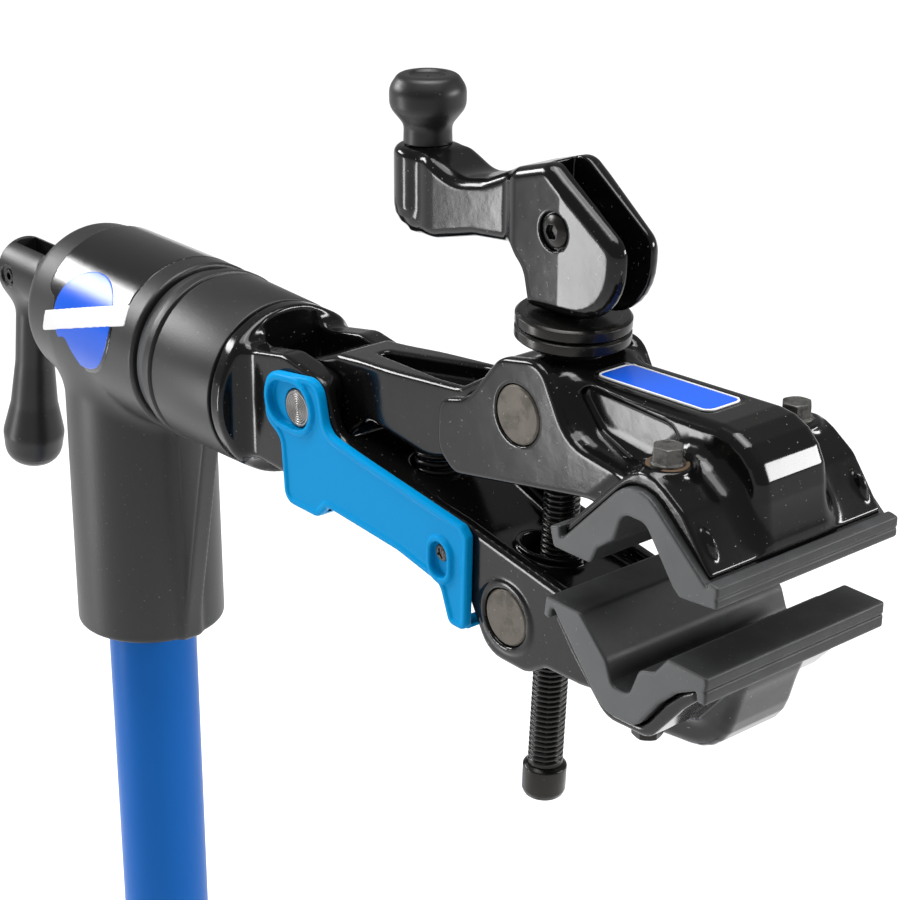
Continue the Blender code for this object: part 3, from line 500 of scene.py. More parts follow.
class Block:
    """A block of space on a grid of points, in which a casting's distance field is built."""

    def __init__(self, low, high, step):
        self.step = step * COARSE
        self.low = np.array(low, np.float64) - 2 * self.step
        counts = np.ceil((np.array(high) + 2 * self.step - self.low) / self.step).astype(int) + 1
        ticks = [
            (self.low[i] + self.step * np.arange(counts[i])).astype(np.float32) for i in range(3)
        ]
        self.x = ticks[0][:, None, None]
        self.y = ticks[1][None, :, None]
        self.z = ticks[2][None, None, :]

    def moved(self, dx=0.0, dy=0.0, dz=0.0, turn_y=0.0):
        """Coordinates about another point, turned about Y by an angle."""
        x, y, z = self.x - dx, self.y - dy, self.z - dz
        c, s = math.cos(turn_y), math.sin(turn_y)
        return x * c - z * s, y, x * s + z * c

    def side(self, corners, steps=5):
        """Distance to an outline in the XZ plane."""
        return polygon(rounded(corners, steps), self.x, self.z)

    def plan(self, corners, steps=5):
        return polygon(rounded(corners, steps), self.x, self.y)

    def slab(self, flat, half, edge=0.0):
        """An outline given a half thickness along Y, with its edges rounded."""
        return extrude(flat, np.abs(self.y) - half, edge)

    def drill(self, field, place, radius):
        """Cuts a hole along Y through a place (x, z)."""
        return both(field, radius - np.hypot(self.x - place[0], self.z - place[1]))

    def mesh(self, name, field, within=HEAD):
        """The surface where the field is 0."""
        full = np.broadcast_to(field, (self.x.shape[0], self.y.shape[1], self.z.shape[2]))
        band = 3 * self.step
        grid = openvdb.FloatGrid(band)
        grid.copyFromArray(np.ascontiguousarray(np.clip(full, -band, band), np.float32))
        points, quads = grid.convertToQuads(isovalue=0.0)
        points = self.low + points * self.step
        mesh = bpy.data.meshes.new(name)
        mesh.vertices.add(len(points))
        mesh.loops.add(4 * len(quads))
        mesh.polygons.add(len(quads))
        where = np.array(Matrix.Scale(MM, 4) @ within)
        points = points @ where[:3, :3].T + where[:3, 3]
        mesh.vertices.foreach_set("co", points.astype(np.float32).ravel())
        mesh.loops.foreach_set("vertex_index", quads[:, ::-1].astype(np.int32).ravel())
        mesh.polygons.foreach_set("loop_start", np.arange(0, 4 * len(quads), 4, dtype=np.int32))
        mesh.update(calc_edges=True)
        mesh.validate()
        return mesh


def polygon(points, a, b):
    """Signed distance to a closed polygon, negative inside."""
    nearest = None
    inside = None
    for i, (x1, y1) in enumerate(points):
        x0, y0 = points[i - 1]
        ex, ey = x1 - x0, y1 - y0
        length = ex * ex + ey * ey
        if length < 1e-12:
            continue
        wx, wy = a - x0, b - y0
        share = np.clip((wx * ex + wy * ey) / length, 0, 1)
        distance = (wx - ex * share) ** 2 + (wy - ey * share) ** 2
        crosses = ((b >= y0) != (b >= y1)) & (((wx * ey - wy * ex) > 0) == (y1 <= y0))
        nearest = distance if nearest is None else np.minimum(nearest, distance)
        inside = crosses if inside is None else inside ^ crosses
    return np.where(inside, -1, 1).astype(np.float32) * np.sqrt(nearest).astype(np.float32)


def extrude(flat, across, edge=0.0):
    """A flat distance and a distance across, joined with a convex rounding."""
    a, b = flat + edge, across + edge
    return np.minimum(np.maximum(a, b), 0) + np.hypot(np.maximum(a, 0), np.maximum(b, 0)) - edge


def disc(a, b, radius):
    return np.hypot(a, b) - radius


def cast(name, block, field, look, body, nodes=(), within=HEAD):
    return add(name, block.mesh(name, field, within), look, body, nodes)


make_camera()
make_world()
make_lights()
make_floor()
LOOKS = {
    "casting": gloss_casting(), "grained": grained_plastic(), "satin": satin_plastic(),
    "rubber": grey_rubber(), "blue_tube": blue_coat(), "blue_cover": blue_moulding(),
    "badge": blue_plate(), "label": gloss_label(), "pin": scuffed_steel(), "zinc": worn_zinc(),
    "rust": rusty_steel(), "oxide": black_oxide(), "bright": turned_steel(),
    "pale": pale_print(), "bronze": bush_bronze(),
}


# ---------------------------------------------------------------- column and barrel
def socket_and_barrel():
    """Barrel and socket in one moulding, with a gusset rib under the barrel's front."""
    rear, front = BARREL_X
    b = Block((rear, -36, SOCKET_FOOT), (53, 36, 36), 0.75)
    spread = np.hypot(b.y, b.z)
    profile = rounded([
        (front, 0), (front, BARREL_R, 1.2), (-10, BARREL_R, 30), (-31, 33.4, 9), (-50, 20.8, 8),
        (rear, 17.2, 1.5), (rear, 0),
    ])
    barrel = polygon(profile, b.x, spread)
    draft = 31.1 + 0.6 * b.z / SOCKET_FOOT
    half = -SOCKET_FOOT / 2
    socket = extrude(disc(b.x, b.y, draft), np.abs(b.z + half) - half, 1.5)
    rib_foot = SOCKET_FOOT + 0.4
    rib = b.slab(b.side([
        (20, -20), (50.2, -28), (52.6, -38, 3), (31.5, rib_foot, 1), (20, rib_foot),
    ]), 4, 0.9)
    field = soft_min(soft_min(barrel, socket, 7), rib, 4)
    field = both(field, -extrude(spread - BORE_R, BORE_END - b.x))
    field = both(field, SHAFT_HOLE_R - spread)
    field = both(field, -extrude(disc(b.x, b.y, TUBE_R + PLAY), b.z - TUBE_TOP - PLAY))
    cast("barrel_and_socket", b, field, LOOKS["grained"], "mast", ["head_housing"])


def label_skin(name, look, lift, step, outline):
    """A thin skin on the barrel. outline(b, arc) is its flat shape, with arc measured round it."""
    b = Block((-19, -36.5, -16), (42, 36.5, 36.5), step)
    spread = np.hypot(b.y, b.z)
    around = np.arctan2(b.z, -b.y)
    flat = outline(b, BARREL_R * (around - LABEL_TILT))
    field = both(both(flat, spread - BARREL_R - lift), BARREL_R - 1.6 - spread)
    field = both(field, (np.abs(around - math.pi / 2) - math.radians(118)) * BARREL_R)
    cast(name, b, field, look, "mast")


def label():
    """Plain gloss label over the barrel, with a blue disc and a pale bar on its near side."""
    def field(b, arc):
        round_end = np.hypot(b.x - LABEL_MIDDLE, arc) - 22.4
        top = polygon(rounded([(-15.5, 4, 5), (-15.5, 90, 8), (40, 90, 8), (40, 4, 5)]), b.x, arc)
        return soft_min(round_end, top, 3)

    def round_mark(b, arc):
        return np.hypot(b.x - LABEL_MIDDLE, arc) - 20.6

    def bar(b, arc):
        corners = [(-15.5, -12.0, 0.8), (42.5, 5.0, 0.8), (40.5, 13.5, 0.8), (-13.7, -3.0, 0.8)]
        return polygon(rounded(corners), b.x, arc)

    label_skin("barrel_label", LOOKS["label"], 0.14, 0.5, field)
    label_skin("label_disc", LOOKS["badge"], 0.24, 0.4, round_mark)
    label_skin("label_bar", LOOKS["pale"], 0.34, 0.4, bar)


def column():
    """Blue tube, and the rings and washer at the barrel's two ends."""
    inner = TUBE_R - TUBE_WALL
    turned("column_tube", [
        (inner, TUBE_LOW), (TUBE_R, TUBE_LOW, 0.4), (TUBE_R, TUBE_TOP, 0.4), (inner, TUBE_TOP),
    ], LOOKS["blue_tube"], "mast", ["upper_tube"], sides=128)
    hole = SHAFT_HOLE_R
    turned("front_seal_ring", [
        (hole, 50.8), (33.0, 50.8, 0.5), (32.6, 54.2, 0.6), (33.3, 57.7, 0.5), (hole, 57.7),
    ], LOOKS["rubber"], "mast", ["barrel_seal"], axis="X")
    turned("taper_collar", [
        (hole, 58), (34.3, 58, 0.6), (35.3, 58.8, 0.6), (35.3, 62.6, 0.6), (33.9, 63.1, 0.2),
        (33.9, 63.9, 0.2), (34.7, 64.4, 0.5), (33.7, 100.7, 0.5), (hole, 100.7),
    ], LOOKS["grained"], "clamp", ["clamp_collar"], axis="X", sides=128)
    near_face = BARREL_X[0] - PLAY
    far_face = near_face - 2
    turned("cam_thrust_washer", [
        (9, far_face), (14, far_face, 0.4), (14, near_face, 0.4), (9, near_face),
    ], LOOKS["zinc"], "clamp", ["rear_washer"], axis="X")


def rear_lever():
    """Cam lever behind the barrel: slotted round head and a teardrop handle."""
    px, pz = REAR_PIN
    b = Block((-112, -14.4, -98), (-58, 14.4, 14.4), 0.5)
    head = extrude(disc(b.y, b.z, REAR_HEAD_R), np.abs(b.x + 75) - 16.4, 1.6)
    x, y, z = b.moved(dx=px + 1, turn_y=math.radians(8.5))
    profile = rounded([
        (0, -6), (8.5, -6), (8.7, -44, 30), (10.6, -65, 20), (13.9, -80, 9), (12.2, -94.5, 9),
        (0, -96.3),
    ])
    handle = polygon(profile, np.hypot(x, y), z)
    field = soft_min(head, handle, 8)
    slot = b.side([(px - 6.2, -6.4, 6), (-40, -6.4), (-40, 30), (px - 6.2, 30)])
    field = both(field, -b.slab(slot, 5, 0.8))
    relief = []
    for k in range(11):         # the cam's radius shrinks as it turns past the washer
        radius, angle = 24 - 0.16 * k, math.radians(10 * k)
        relief.append((px + radius * math.cos(angle), radius * math.sin(angle)))
    field = both(field, -b.side(relief + [(px - 2, 40), (px + 40, 40), (px + 40, 0)]))
    field = b.drill(field, REAR_PIN, 3.3)
    field = both(field, -extrude(disc(b.x - px, b.z - pz, 5.0), 12.6 - np.abs(b.y)))
    cast("rear_lever", b, field, LOOKS["satin"], "rear_cam", ["rear_cam_lever"])
    profile = [
        (1.7, -13.0), (3, -13.0, 0.4), (3, 13.0, 0.4), (1.7, 13.0), (1.7, 10), (0, 10), (0, -10),
        (1.7, -10),
    ]
    turned("rear_cross_pin", profile, LOOKS["oxide"], "rear_cam", ["rear_cam_pin"],
           at=(px, 0, pz), axis="Y", sides=48)


# ---------------------------------------------------------------- clamp casting
def lower_pad_corners():
    return [
        (294.3, -4.2, 1), (309.6, -4.2, 2), (321.6, -15.6, 5), (324.6, -23.4, 3),
        (331.6, -23.4, 3.5), (335.6, -13.2, 3.5), (342, -11.2, 3.5), (347, -5, 1.5), (363, -5, 1),
        (363, -14, 1), (359.6, -14, 0.8), (359.0, -10.6, 0.6), (351, -14.8, 2), (344.3, -21.1, 3),
        (335.2, -33.1, 8), (321, -33.5, 10), (307.4, -18.2, 4), (297.2, -6.4, 0.8),
        (296.2, -11.5, 0.5), (293.4, -11, 0.5),
    ]


def upper_pad_corners():
    return [
        (297.1, 13.7, 1), (313.4, 13.9, 1.5), (316.2, 19.8, 3), (323.2, 25.2, 4),
        (326.2, 34.7, 4.5), (335.6, 34.7, 4.5), (347.4, 19, 3), (350.4, 16.4, 1.5),
        (365.2, 17.8, 1), (365.2, 24.8, 0.8), (361.2, 25.4, 0.5), (361.2, 23.2, 0.4),
        (330.8, 48.7, 12.5), (300.2, 17.2, 0.6), (299.4, 21.6, 0.5), (295.2, 20, 0.5),
    ]


def clamp_casting():
    """Flange, ears, channel, lower jaw shell and ridge."""
    b = Block((101, -JAW_W, -53), (358, JAW_W, 34), 0.6)
    wide = np.abs(b.y)
    outline = b.side([
        (104, -20), (104, 20.5), (134, 26.2, 14), (157.5, 22.5, 9), (165, 3.6, 10),
        (186, 0.2, 24), (233, -4.8), (289, -14), (312, -22), (312, -40), (292, -43),
        (276, -43.4, 6), (266.5, -49.2, 10), (247, -49.2, 12), (235, -28.5, 10), (160, -26, 8),
        (132, -21, 6),
    ])
    plates = extrude(outline, wide - HALF_W, 2.0)
    flange = extrude(disc(b.y, b.z, 33.3), np.abs(b.x - 104.7) - 3.7, 1.8)
    field = soft_min(plates, flange, 9)
    channel = b.side([
        (157, 1.5, 6), (190, 1.0, 12), (208, -3.5, 14), (236, -13, 10), (288, -18, 6), (288, 60),
        (157, 60),
    ])
    field = soft_max(field, -extrude(channel, wide - INNER_W, 3.5), 1.5)
    under = b.side([(244.5, -18), (274, -21.5, 4), (274, -60), (244.5, -60)])
    under = near(under, b.side([(150, -18), (229, -18, 6), (229, -60), (150, -60)]))
    field = soft_max(field, -extrude(under, wide - INNER_W, 3.5), 1.0)
    spring_cup = extrude(disc(b.x - SPRING_X, b.y, 10.6), -12.8 - b.z, 1.0)
    field = soft_max(field, -spring_cup, 1.0)
    ears = b.side([(108.4, -60), (163, -60), (163, 60), (108.4, 60)])
    field = soft_max(field, -extrude(ears, wide - EAR_W, 3.0), 1.5)
    shell = b.side([
        (297.0, -6.6), (307.4, -18.6), (321, -33.9, 8), (335.5, -33.5, 5), (344.5, -21.6),
        (351, -15.3), (357, -11.5), (357, -15.8, 1), (351.5, -21, 3), (338.5, -36.4, 7),
        (319.5, -37.2, 10), (303, -20.4), (294.2, -9.6),
    ])
    ridge = b.side([
        (276, -24), (276, -45, 3), (316, -51.5, 16), (347, -47.5, 19), (354, -22, 5), (353, -18),
        (340, -33), (320, -36),
    ])
    field = soft_min(field, extrude(shell, wide - JAW_W, 1.0), 4)
    field = soft_min(field, extrude(ridge, wide - RIDGE_W, 3.5), 5)
    ring = extrude(disc(b.x - LOWER_PIN[0], b.z - LOWER_PIN[1], 12.6), wide - HALF_W - 0.5, 0.4)
    field = soft_min(field, ring, 1.5)
    oval = (np.hypot((b.x - 254) / 11.8, b.y / 8.85) - 1) * 9.5     # the screw's passage
    field = soft_min(field, extrude(oval - 1.8, np.abs(b.z + 14.4) - 1.9, 0.7), 0.8)
    field = both(field, -extrude(oval, np.abs(b.z + 16) - 8))
    field = both(field, PLAY - b.side(lower_pad_corners()))
    field = b.drill(field, LOWER_PIN, TRUNNION_R + 0.35)
    field = b.drill(field, YOKE_PIN, YOKE_R + PLAY)
    cast("clamp_casting", b, field, LOOKS["casting"], "clamp", ["clamp_body"])


def pad(name, corners, body, node, low, high, seam_end, seam_z):
    """Rubber pad between two heights, with a moulding seam along its lip."""
    b = Block((293, -PAD_W, low), (366, PAD_W, high), 0.5)
    field = b.slab(b.side(corners), PAD_W, 0.55)
    field = both(field, -both(np.abs(b.z - seam_z) - 0.35, seam_end - b.x))
    cast(name, b, field, LOOKS["rubber"], body, [node])


def pads():
    pad("lower_pad", lower_pad_corners(), "clamp", "lower_jaw_pad", -35, -4, 362.5, -9.4)
    pad("upper_pad", upper_pad_corners(), "upper_jaw", "upper_jaw_pad", 13, 45, 364.7, 20.9)


def ease(value, start, end):
    """0 up to start, 1 from end on, and smooth between them."""
    share = np.clip((value - start) / (end - start), 0, 1)
    return share * share * (3 - 2 * share)


def arm_casting():
    """Upper arm: slim between the ears, two ribs along its top, forked end over the trunnion."""
    b = Block((130.5, -17.4, -4), (273, 17.4, 54), 0.5)
    wide = np.abs(b.y)
    ex, ez = UPPER_PIN
    outline = b.side([
        (131, 0, 9), (131, 21, 9), (153, 29.6, 8), (222, 37.4, 12), (ex - 12, ez + 12, 10),
        (ex + 12, ez + 12, 11), (ex + 12, ez - 12, 11), (232, 15, 8), (206, 6.4, 22),
        (170, 10.6, 12), (157, -3, 9),
    ])
    half = 12.6 + 1.6 * ease(b.x, 160, 186) + 3.1 * ease(b.x, 238, 247)
    field = extrude(outline, wide - half, 2.2)
    top = 29.6 + (b.x - 153) * 0.113
    recess = b.plan([
        (164, -2.0, 1.5), (164, 2.0, 1.5), (208, 9.6, 8), (244, 10.4), (244, -10.4), (208, -9.6, 8),
    ])
    field = soft_max(field, -extrude(recess, top - 6.5 - b.z, 1.5), 2.0)
    slot = b.side([(243, -20), (290, -20), (290, 80), (243, 80)])
    field = soft_max(field, -extrude(slot, wide - 9, 2.0), 1.0)
    field = b.drill(field, YOKE_PIN, YOKE_R + PLAY)
    field = b.drill(field, UPPER_PIN, TRUNNION_R + PLAY)
    cast("arm_casting", b, field, LOOKS["casting"], "upper_arm", ["upper_arm"])


def jaw_casting():
    """Upper jaw: side plates round the trunnion, box ridge, and the shell over the pad."""
    b = Block((219.8, -JAW_W, 9.8), (360.6, JAW_W, 61), 0.5)
    wide = np.abs(b.y)
    outline = b.side([
        (220.2, 17, 9), (220.8, 35.5, 7), (235, 39.5, 14), (250.5, 58.2, 12), (271, 62.4, 9),
        (284, 39.4, 16), (312, 36.0), (312, 30), (299, 24.2), (229, 10.6, 7),
    ])
    plates = extrude(outline, wide - HALF_W, 1.8)
    room = b.side([(205, -10), (274, -10), (275, 54.6, 4), (245, 54.6), (205, 50)])
    plates = soft_max(plates, -extrude(room, wide - INNER_W, 3.0), 1.0)
    over = b.side([(225, 58.1), (281, 58.1, 5), (281, 75), (225, 75)])
    plates = soft_max(plates, -extrude(over, wide - INNER_W, 1.5), 2.0)
    ridge = b.side([
        (262, 57.8), (286, 57.4), (358.2, 60.8, 19), (358.6, 29), (350, 27), (331, 40), (300, 30),
        (262, 40),
    ])
    ridge = extrude(ridge, wide - RIDGE_W, 4.0)
    pocket = b.side([(277, 56.0, 3), (334, 54.0, 7), (322, 43, 8), (306, 36, 8), (290, 42, 9)])
    ridge = soft_max(ridge, -extrude(pocket, 12.2 - wide, 1.5), 2.2)
    shell = b.side([
        (299.9, 17.6), (330.7, 49.2, 12.8), (360.4, 23.7), (360.0, 26.2, 0.6), (348.3, 41.4, 8),
        (331.4, 52.5, 13), (296.6, 18.6),
    ])
    shell = extrude(shell, wide - JAW_W, 0.9)
    field = soft_min(plates, ridge, 7)
    field = soft_min(field, shell, 8)
    boss = extrude(disc(b.x - TOP_BOLT[0], wide - PAD_BOLT_Y, 7.6), np.abs(b.z - 44) - 5.3, 0.8)
    field = soft_min(field, boss, 3)
    nib = np.sqrt(
        ((b.x - 353.5) / 4.2) ** 2 + ((wide - 33.2) / 2.0) ** 2 + ((b.z - 31) / 6.2) ** 2
    )
    field = soft_min(field, (nib - 1) * 2.4, 0.8)
    field = both(field, PLAY - b.side(upper_pad_corners()))
    x, y, z = b.moved(*BADGE_PLACE, BADGE_LEAN)
    plate = polygon(rounded([(0, -9, 4), (51, -9, 4), (51, 9, 4), (0, 9, 4)]), x, y)
    field = soft_max(field, -extrude(plate, 0.1 - z, 0.3), 0.6)
    field = b.drill(field, UPPER_PIN, TRUNNION_R + 0.35)
    x, y, z = b.moved(UPPER_PIN[0], 0, UPPER_PIN[1], SCREW_LEAN)
    field = both(field, -extrude(np.hypot(x, y) - ROD_HOLE_R, -z))
    cast("jaw_casting", b, field, LOOKS["casting"], "upper_jaw", ["upper_jaw"])


def badge():
    """Plain blue plate with a pale rim, let into the top of the upper jaw."""
    b = Block((0.5, -8.5, -0.2), (50.5, 8.5, 1.1), 0.3)
    plate = b.plan([(1, -8, 3.4), (50, -8, 3.4), (50, 8, 3.4), (1, 8, 3.4)], 8)
    field = extrude(plate, np.abs(b.z - 0.35) - 0.3, 0.2)
    rim = extrude(np.abs(plate + 0.45) - 0.4, np.abs(b.z - 0.35) - 0.36, 0.05)
    field = both(field, plate + 0.8)
    within = HEAD @ Matrix.Translation(BADGE_PLACE) @ Matrix.Rotation(BADGE_LEAN, 4, "Y")
    cast("badge_rim", b, rim, LOOKS["pale"], "upper_jaw", within=within)
    cast("blue_badge_plate", b, field, LOOKS["badge"], "upper_jaw", ["jaw_badge"],
         within)


def cover():
    """Blue moulded cover clipped over both sides of the casting."""
    skin = HALF_W + PLAY                    # its inner face
    outer = HALF_W + COVER_DEPTH
    b = Block((126, -outer - 0.6, -43.5), (240.5, outer + 0.6, 24.5), 0.45)
    wide = np.abs(b.y)
    outline = b.side([
        (126.5, 0.5, 6), (126.5, 19.2, 8), (158.6, 24.0, 7), (162.6, 5.2, 7), (180, 2.4, 18),
        (237, -4.9, 2), (240, -8, 2), (239.4, -43, 3), (231, -43, 3), (226, -30, 5),
        (203, -25.6, 8), (163, -23, 3), (157, -29, 5), (137.5, -29, 5), (135.6, -4.6, 6),
    ])

    def layer(flat, low, high, edge=0.5):
        return extrude(flat, np.abs(wide - (low + high) / 2) - (high - low) / 2, edge)

    field = layer(outline, skin, HALF_W + 2.7)
    border = np.abs(outline + 1.1) - 1.1
    field = soft_min(field, layer(border, skin, outer - 0.3, 0.7), 1.0)
    window = b.side([(129.0, 1.6, 8), (129.0, 17.2, 8), (153.8, 20.2, 9), (153.8, 1.4, 9)])
    frame_round = np.abs(window - 0.9) - 1.3
    field = soft_min(field, layer(frame_round, skin, outer + 0.5, 0.9), 1.0)
    field = both(field, -extrude(window, HALF_W + 1.2 - wide))
    screw_x, screw_z = COVER_SCREW
    past_ends = np.maximum(b.z - screw_z, 0) + np.minimum(b.z - screw_z + 4.4, 0)
    lug = np.hypot(b.x - screw_x, past_ends) - 4.4
    field = soft_min(field, layer(np.abs(lug - 0.9) - 1.2, skin, outer + 0.5, 0.8), 1.0)
    field = both(field, -extrude(lug, HALF_W + 1.4 - wide))
    for corners in (                        # the lips hooked under the casting
        [(138, -29, 1), (157, -29, 1), (160, -26.7), (137.4, -26.7)],
        [(231.4, -43, 0.8), (239.2, -43, 0.8), (239, -41.1), (233, -41.1)],
    ):
        field = near(field, extrude(b.side(corners), wide - HALF_W - 1.5, 0.3))
    field = b.drill(field, YOKE_PIN, YOKE_R + PLAY)
    cast("blue_cover", b, field, LOOKS["blue_cover"], "clamp", ["side_cover"])


# ---------------------------------------------------------------- cam lever and screw
def lever_casting():
    """Fork that rides on the washers, waisted arm and the knob's boss."""
    b = Block((175.5, -13.2, 72), (291.5, 13.2, 123.5), 0.45)
    wide = np.abs(b.y)
    outline = b.side([
        (188, 111.8), (200, 112.0, 10), (214, 106.8, 18), (227, 109.4, 12), (243, 116.6, 12),
        (259.4, 121.6, 6.5), (290.4, 100.4, 8), (289.6, 74.3, 20), (250.2, 72.7, 3),
        (247.4, 84, 8), (240, 90.4, 7), (222, 88.6, 20), (203, 83.6, 14), (188, 82.4),
    ], 8)
    half = 9.3 + 2.2 * ease(b.x, 237, 245.5)            # the fork is wider than the arm
    half = half + 0.048 * np.clip(238 - b.x, 0, 34)     # the arm widens to the knob
    half = half - 2.2 * (1 - ease(b.x, 188, 202)) - 0.06 * np.clip(b.x - 266, 0, 30)
    spread = np.hypot(b.x - KNOB[0], b.y)
    boss = rounded([(0, 111.8), (11.5, 111.8, 3), (11.5, 82.0, 9.5), (0, 82.2)])
    field = soft_min(extrude(outline, wide - half, 4.2), polygon(boss, spread, b.z), 2.5)
    slot = b.side([(253.8, 60), (300, 60), (300, 130), (256.0, 130), (253.8, 100, 4)])
    field = soft_max(field, -extrude(slot, wide - 5, 0.8), 0.8)
    head_seat = disc(b.x - CAM_PIVOT[0], b.z - CAM_PIVOT[1], 6.3)
    field = soft_max(field, -extrude(head_seat, 9.9 - wide), 0.4)
    field = b.drill(field, CAM_PIVOT, PIVOT_HOLE_R)
    cast("lever_casting", b, field, LOOKS["casting"], "cam", ["cam_lever"])


def lever_knob():
    low = KNOB[1]
    top = low + 23.2
    profile = [
        (3.4, low), (8.3, low, 0.5), (8.1, low + 6.2, 5), (12.9, low + 12.2, 6),
        (13.0, low + 18.6, 6), (10.2, top - 0.3, 3), (8.0, top, 1.2), (6.6, top, 0.4),
        (5.8, top - 0.8, 0.4), (0.4, top - 1.0), (0.4, low + 18), (3.4, low + 18),
    ]
    turned("lever_knob", profile, LOOKS["satin"], "knob", ["knob"],
           at=(KNOB[0], 0, 0))


def skin_rings(bm, rings):
    """Joins rings of vertices into a closed tube."""
    for first, second in zip(rings, rings[1:]):
        for k in range(len(first)):
            bm.faces.new((first[k - 1], first[k], second[k], second[k - 1]))
    bm.faces.new(rings[0][::-1])
    bm.faces.new(rings[-1])


def screw_thread(low, high):
    """The clamp screw's threaded length: a real helical groove between two heights."""
    pitch, depth = 2.0, 0.85
    around, per_pitch = 48, 8
    bm = bmesh.new()
    rows = int((high - low) / pitch * per_pitch)
    levels = [low + k * pitch / per_pitch for k in range(rows + 1)]
    rings = []
    for z in levels:
        ring = []
        fade = max(0.0, min(1.0, (z - low) / pitch, (levels[-1] - z) / pitch))
        for k in range(around):
            phase = (z / pitch - k / around) % 1.0
            groove = max(0.0, 1 - abs(phase - 0.5) * 3.4)
            r = ROD_R - depth * groove * fade
            angle = 2 * math.pi * k / around
            ring.append(bm.verts.new((r * math.cos(angle), r * math.sin(angle), z)))
        rings.append(ring)
    skin_rings(bm, rings)
    add("screw_thread", mesh_of("screw_thread", bm, SCREW), LOOKS["oxide"], "screw",
        ["clamp_screw"], sharp=50)


def clamp_screw():
    """Thread, plain shank, eye round the cam lever's pivot, and the cap at its foot."""
    spacing = math.hypot(UPPER_PIN[0] - LOWER_PIN[0], UPPER_PIN[1] - LOWER_PIN[1])
    bottom = -spacing - 64
    screw_thread(bottom, -12.0)
    turned("screw_shank", [(0, -13), (ROD_R, -13, 0.5), (ROD_R, 29.5, 0.5), (0, 29.5)],
           LOOKS["oxide"], "screw", within=SCREW, sides=64)
    pivot = math.hypot(CAM_PIVOT[0] - UPPER_PIN[0], CAM_PIVOT[1] - UPPER_PIN[1])
    b = Block((-7, -4.4, 20), (7, 4.4, pivot + 7), 0.35)
    eye = b.side([(-5.5, 20), (5.5, 20), (7, pivot + 7, 6.8), (-7, pivot + 7, 6.8)])
    field = extrude(eye, np.abs(b.y) - 4.4 + 1.5 * (1 - ease(b.z, 29, 34)), 0.6)
    field = b.drill(field, (0, pivot), PIVOT_HOLE_R)
    cast("screw_eye", b, field, LOOKS["oxide"], "screw", within=SCREW)
    cap_low = -spacing - 77
    turned("screw_cap", [
        (0, cap_low), (6.9, cap_low, 1.6), (7.8, cap_low + 2.4, 2), (7.8, bottom - 1.3, 0.8),
        (6.4, bottom - PLAY, 0.5), (0, bottom - PLAY),
    ], LOOKS["oxide"], "screw", ["screw_end_cap"], within=SCREW, sides=64)


def washers():
    """Neck collar on the upper jaw, and the two thrust washers under the cam lever."""
    hole, top = ROD_HOLE_R, WASHER_LOW - PLAY
    turned("neck_collar", [(hole, 17.9), (12.5, 17.9, 0.6), (12.5, top, 0.5), (hole, top)],
           LOOKS["oxide"], "upper_jaw", ["neck_bush"], within=SCREW)
    for name, base, body, node in (
        ("lower_washer_ring", WASHER_LOW, "upper_jaw", "thrust_washer_lower"),
        ("upper_washer_ring", WASHER_LOW + WASHER_STEP, "washer", "thrust_washer_upper"),
    ):
        top = base + WASHER_STEP - PLAY
        turned(name, [
            (hole, base), (18.2, base, 0.3), (WASHER_R, base + 0.7, 0.3),
            (WASHER_R, top - 0.8, 0.3), (18.1, top, 0.4), (15.5, top, 0.3),
            (15.2, top - 0.25, 0.2), (hole, top - 0.25),
        ], LOOKS["oxide"], body, [node], within=SCREW, sides=128)


# ---------------------------------------------------------------- pins, bolts and screws
def trunnions():
    """The upper trunnion and the barrel nut, seen as round pin ends."""
    for name, body, node, pin in (
        ("upper_pin", "upper_jaw", "upper_trunnion", UPPER_PIN),
        ("lower_pin", "nut", "barrel_nut", LOWER_PIN),
    ):
        half = HALF_W + (0.05 if node == "upper_trunnion" else 0.3)
        turned(name, [
            (0, -half), (9.3, -half, 0.2), (TRUNNION_R, -half + 0.5, 0.3),
            (TRUNNION_R, half - 0.5, 0.3), (9.3, half, 0.2), (0, half),
        ], LOOKS["pin"], body, [node], at=(pin[0], 0, pin[1]), axis="Y")


def yoke_pin():
    """Pin of the upper arm, with the fine rings of a lathe tool on its ends."""
    end = HALF_W + 1.6
    rings = [(0, -end)]
    for k in range(6):
        r = 0.9 + 0.9 * k
        rings += [(r, -end), (r + 0.25, -end + 0.18), (r + 0.5, -end)]
    rings += [(6.6, -end, 0.2), (YOKE_R, -end + 0.6, 0.3)]
    profile = rings + [(r[0], -r[1], *r[2:]) for r in rings[::-1]]
    turned("yoke_pin_turned", profile, LOOKS["bright"], "clamp", ["yoke_pin"],
           at=(YOKE_PIN[0], 0, YOKE_PIN[1]), axis="Y")


def hexagon(across_flats, edge=0.4):
    r = across_flats / math.sqrt(3)
    angles = [math.radians(60 * k + 12) for k in range(6)]
    return [(r * math.cos(angle), r * math.sin(angle), edge) for angle in angles]


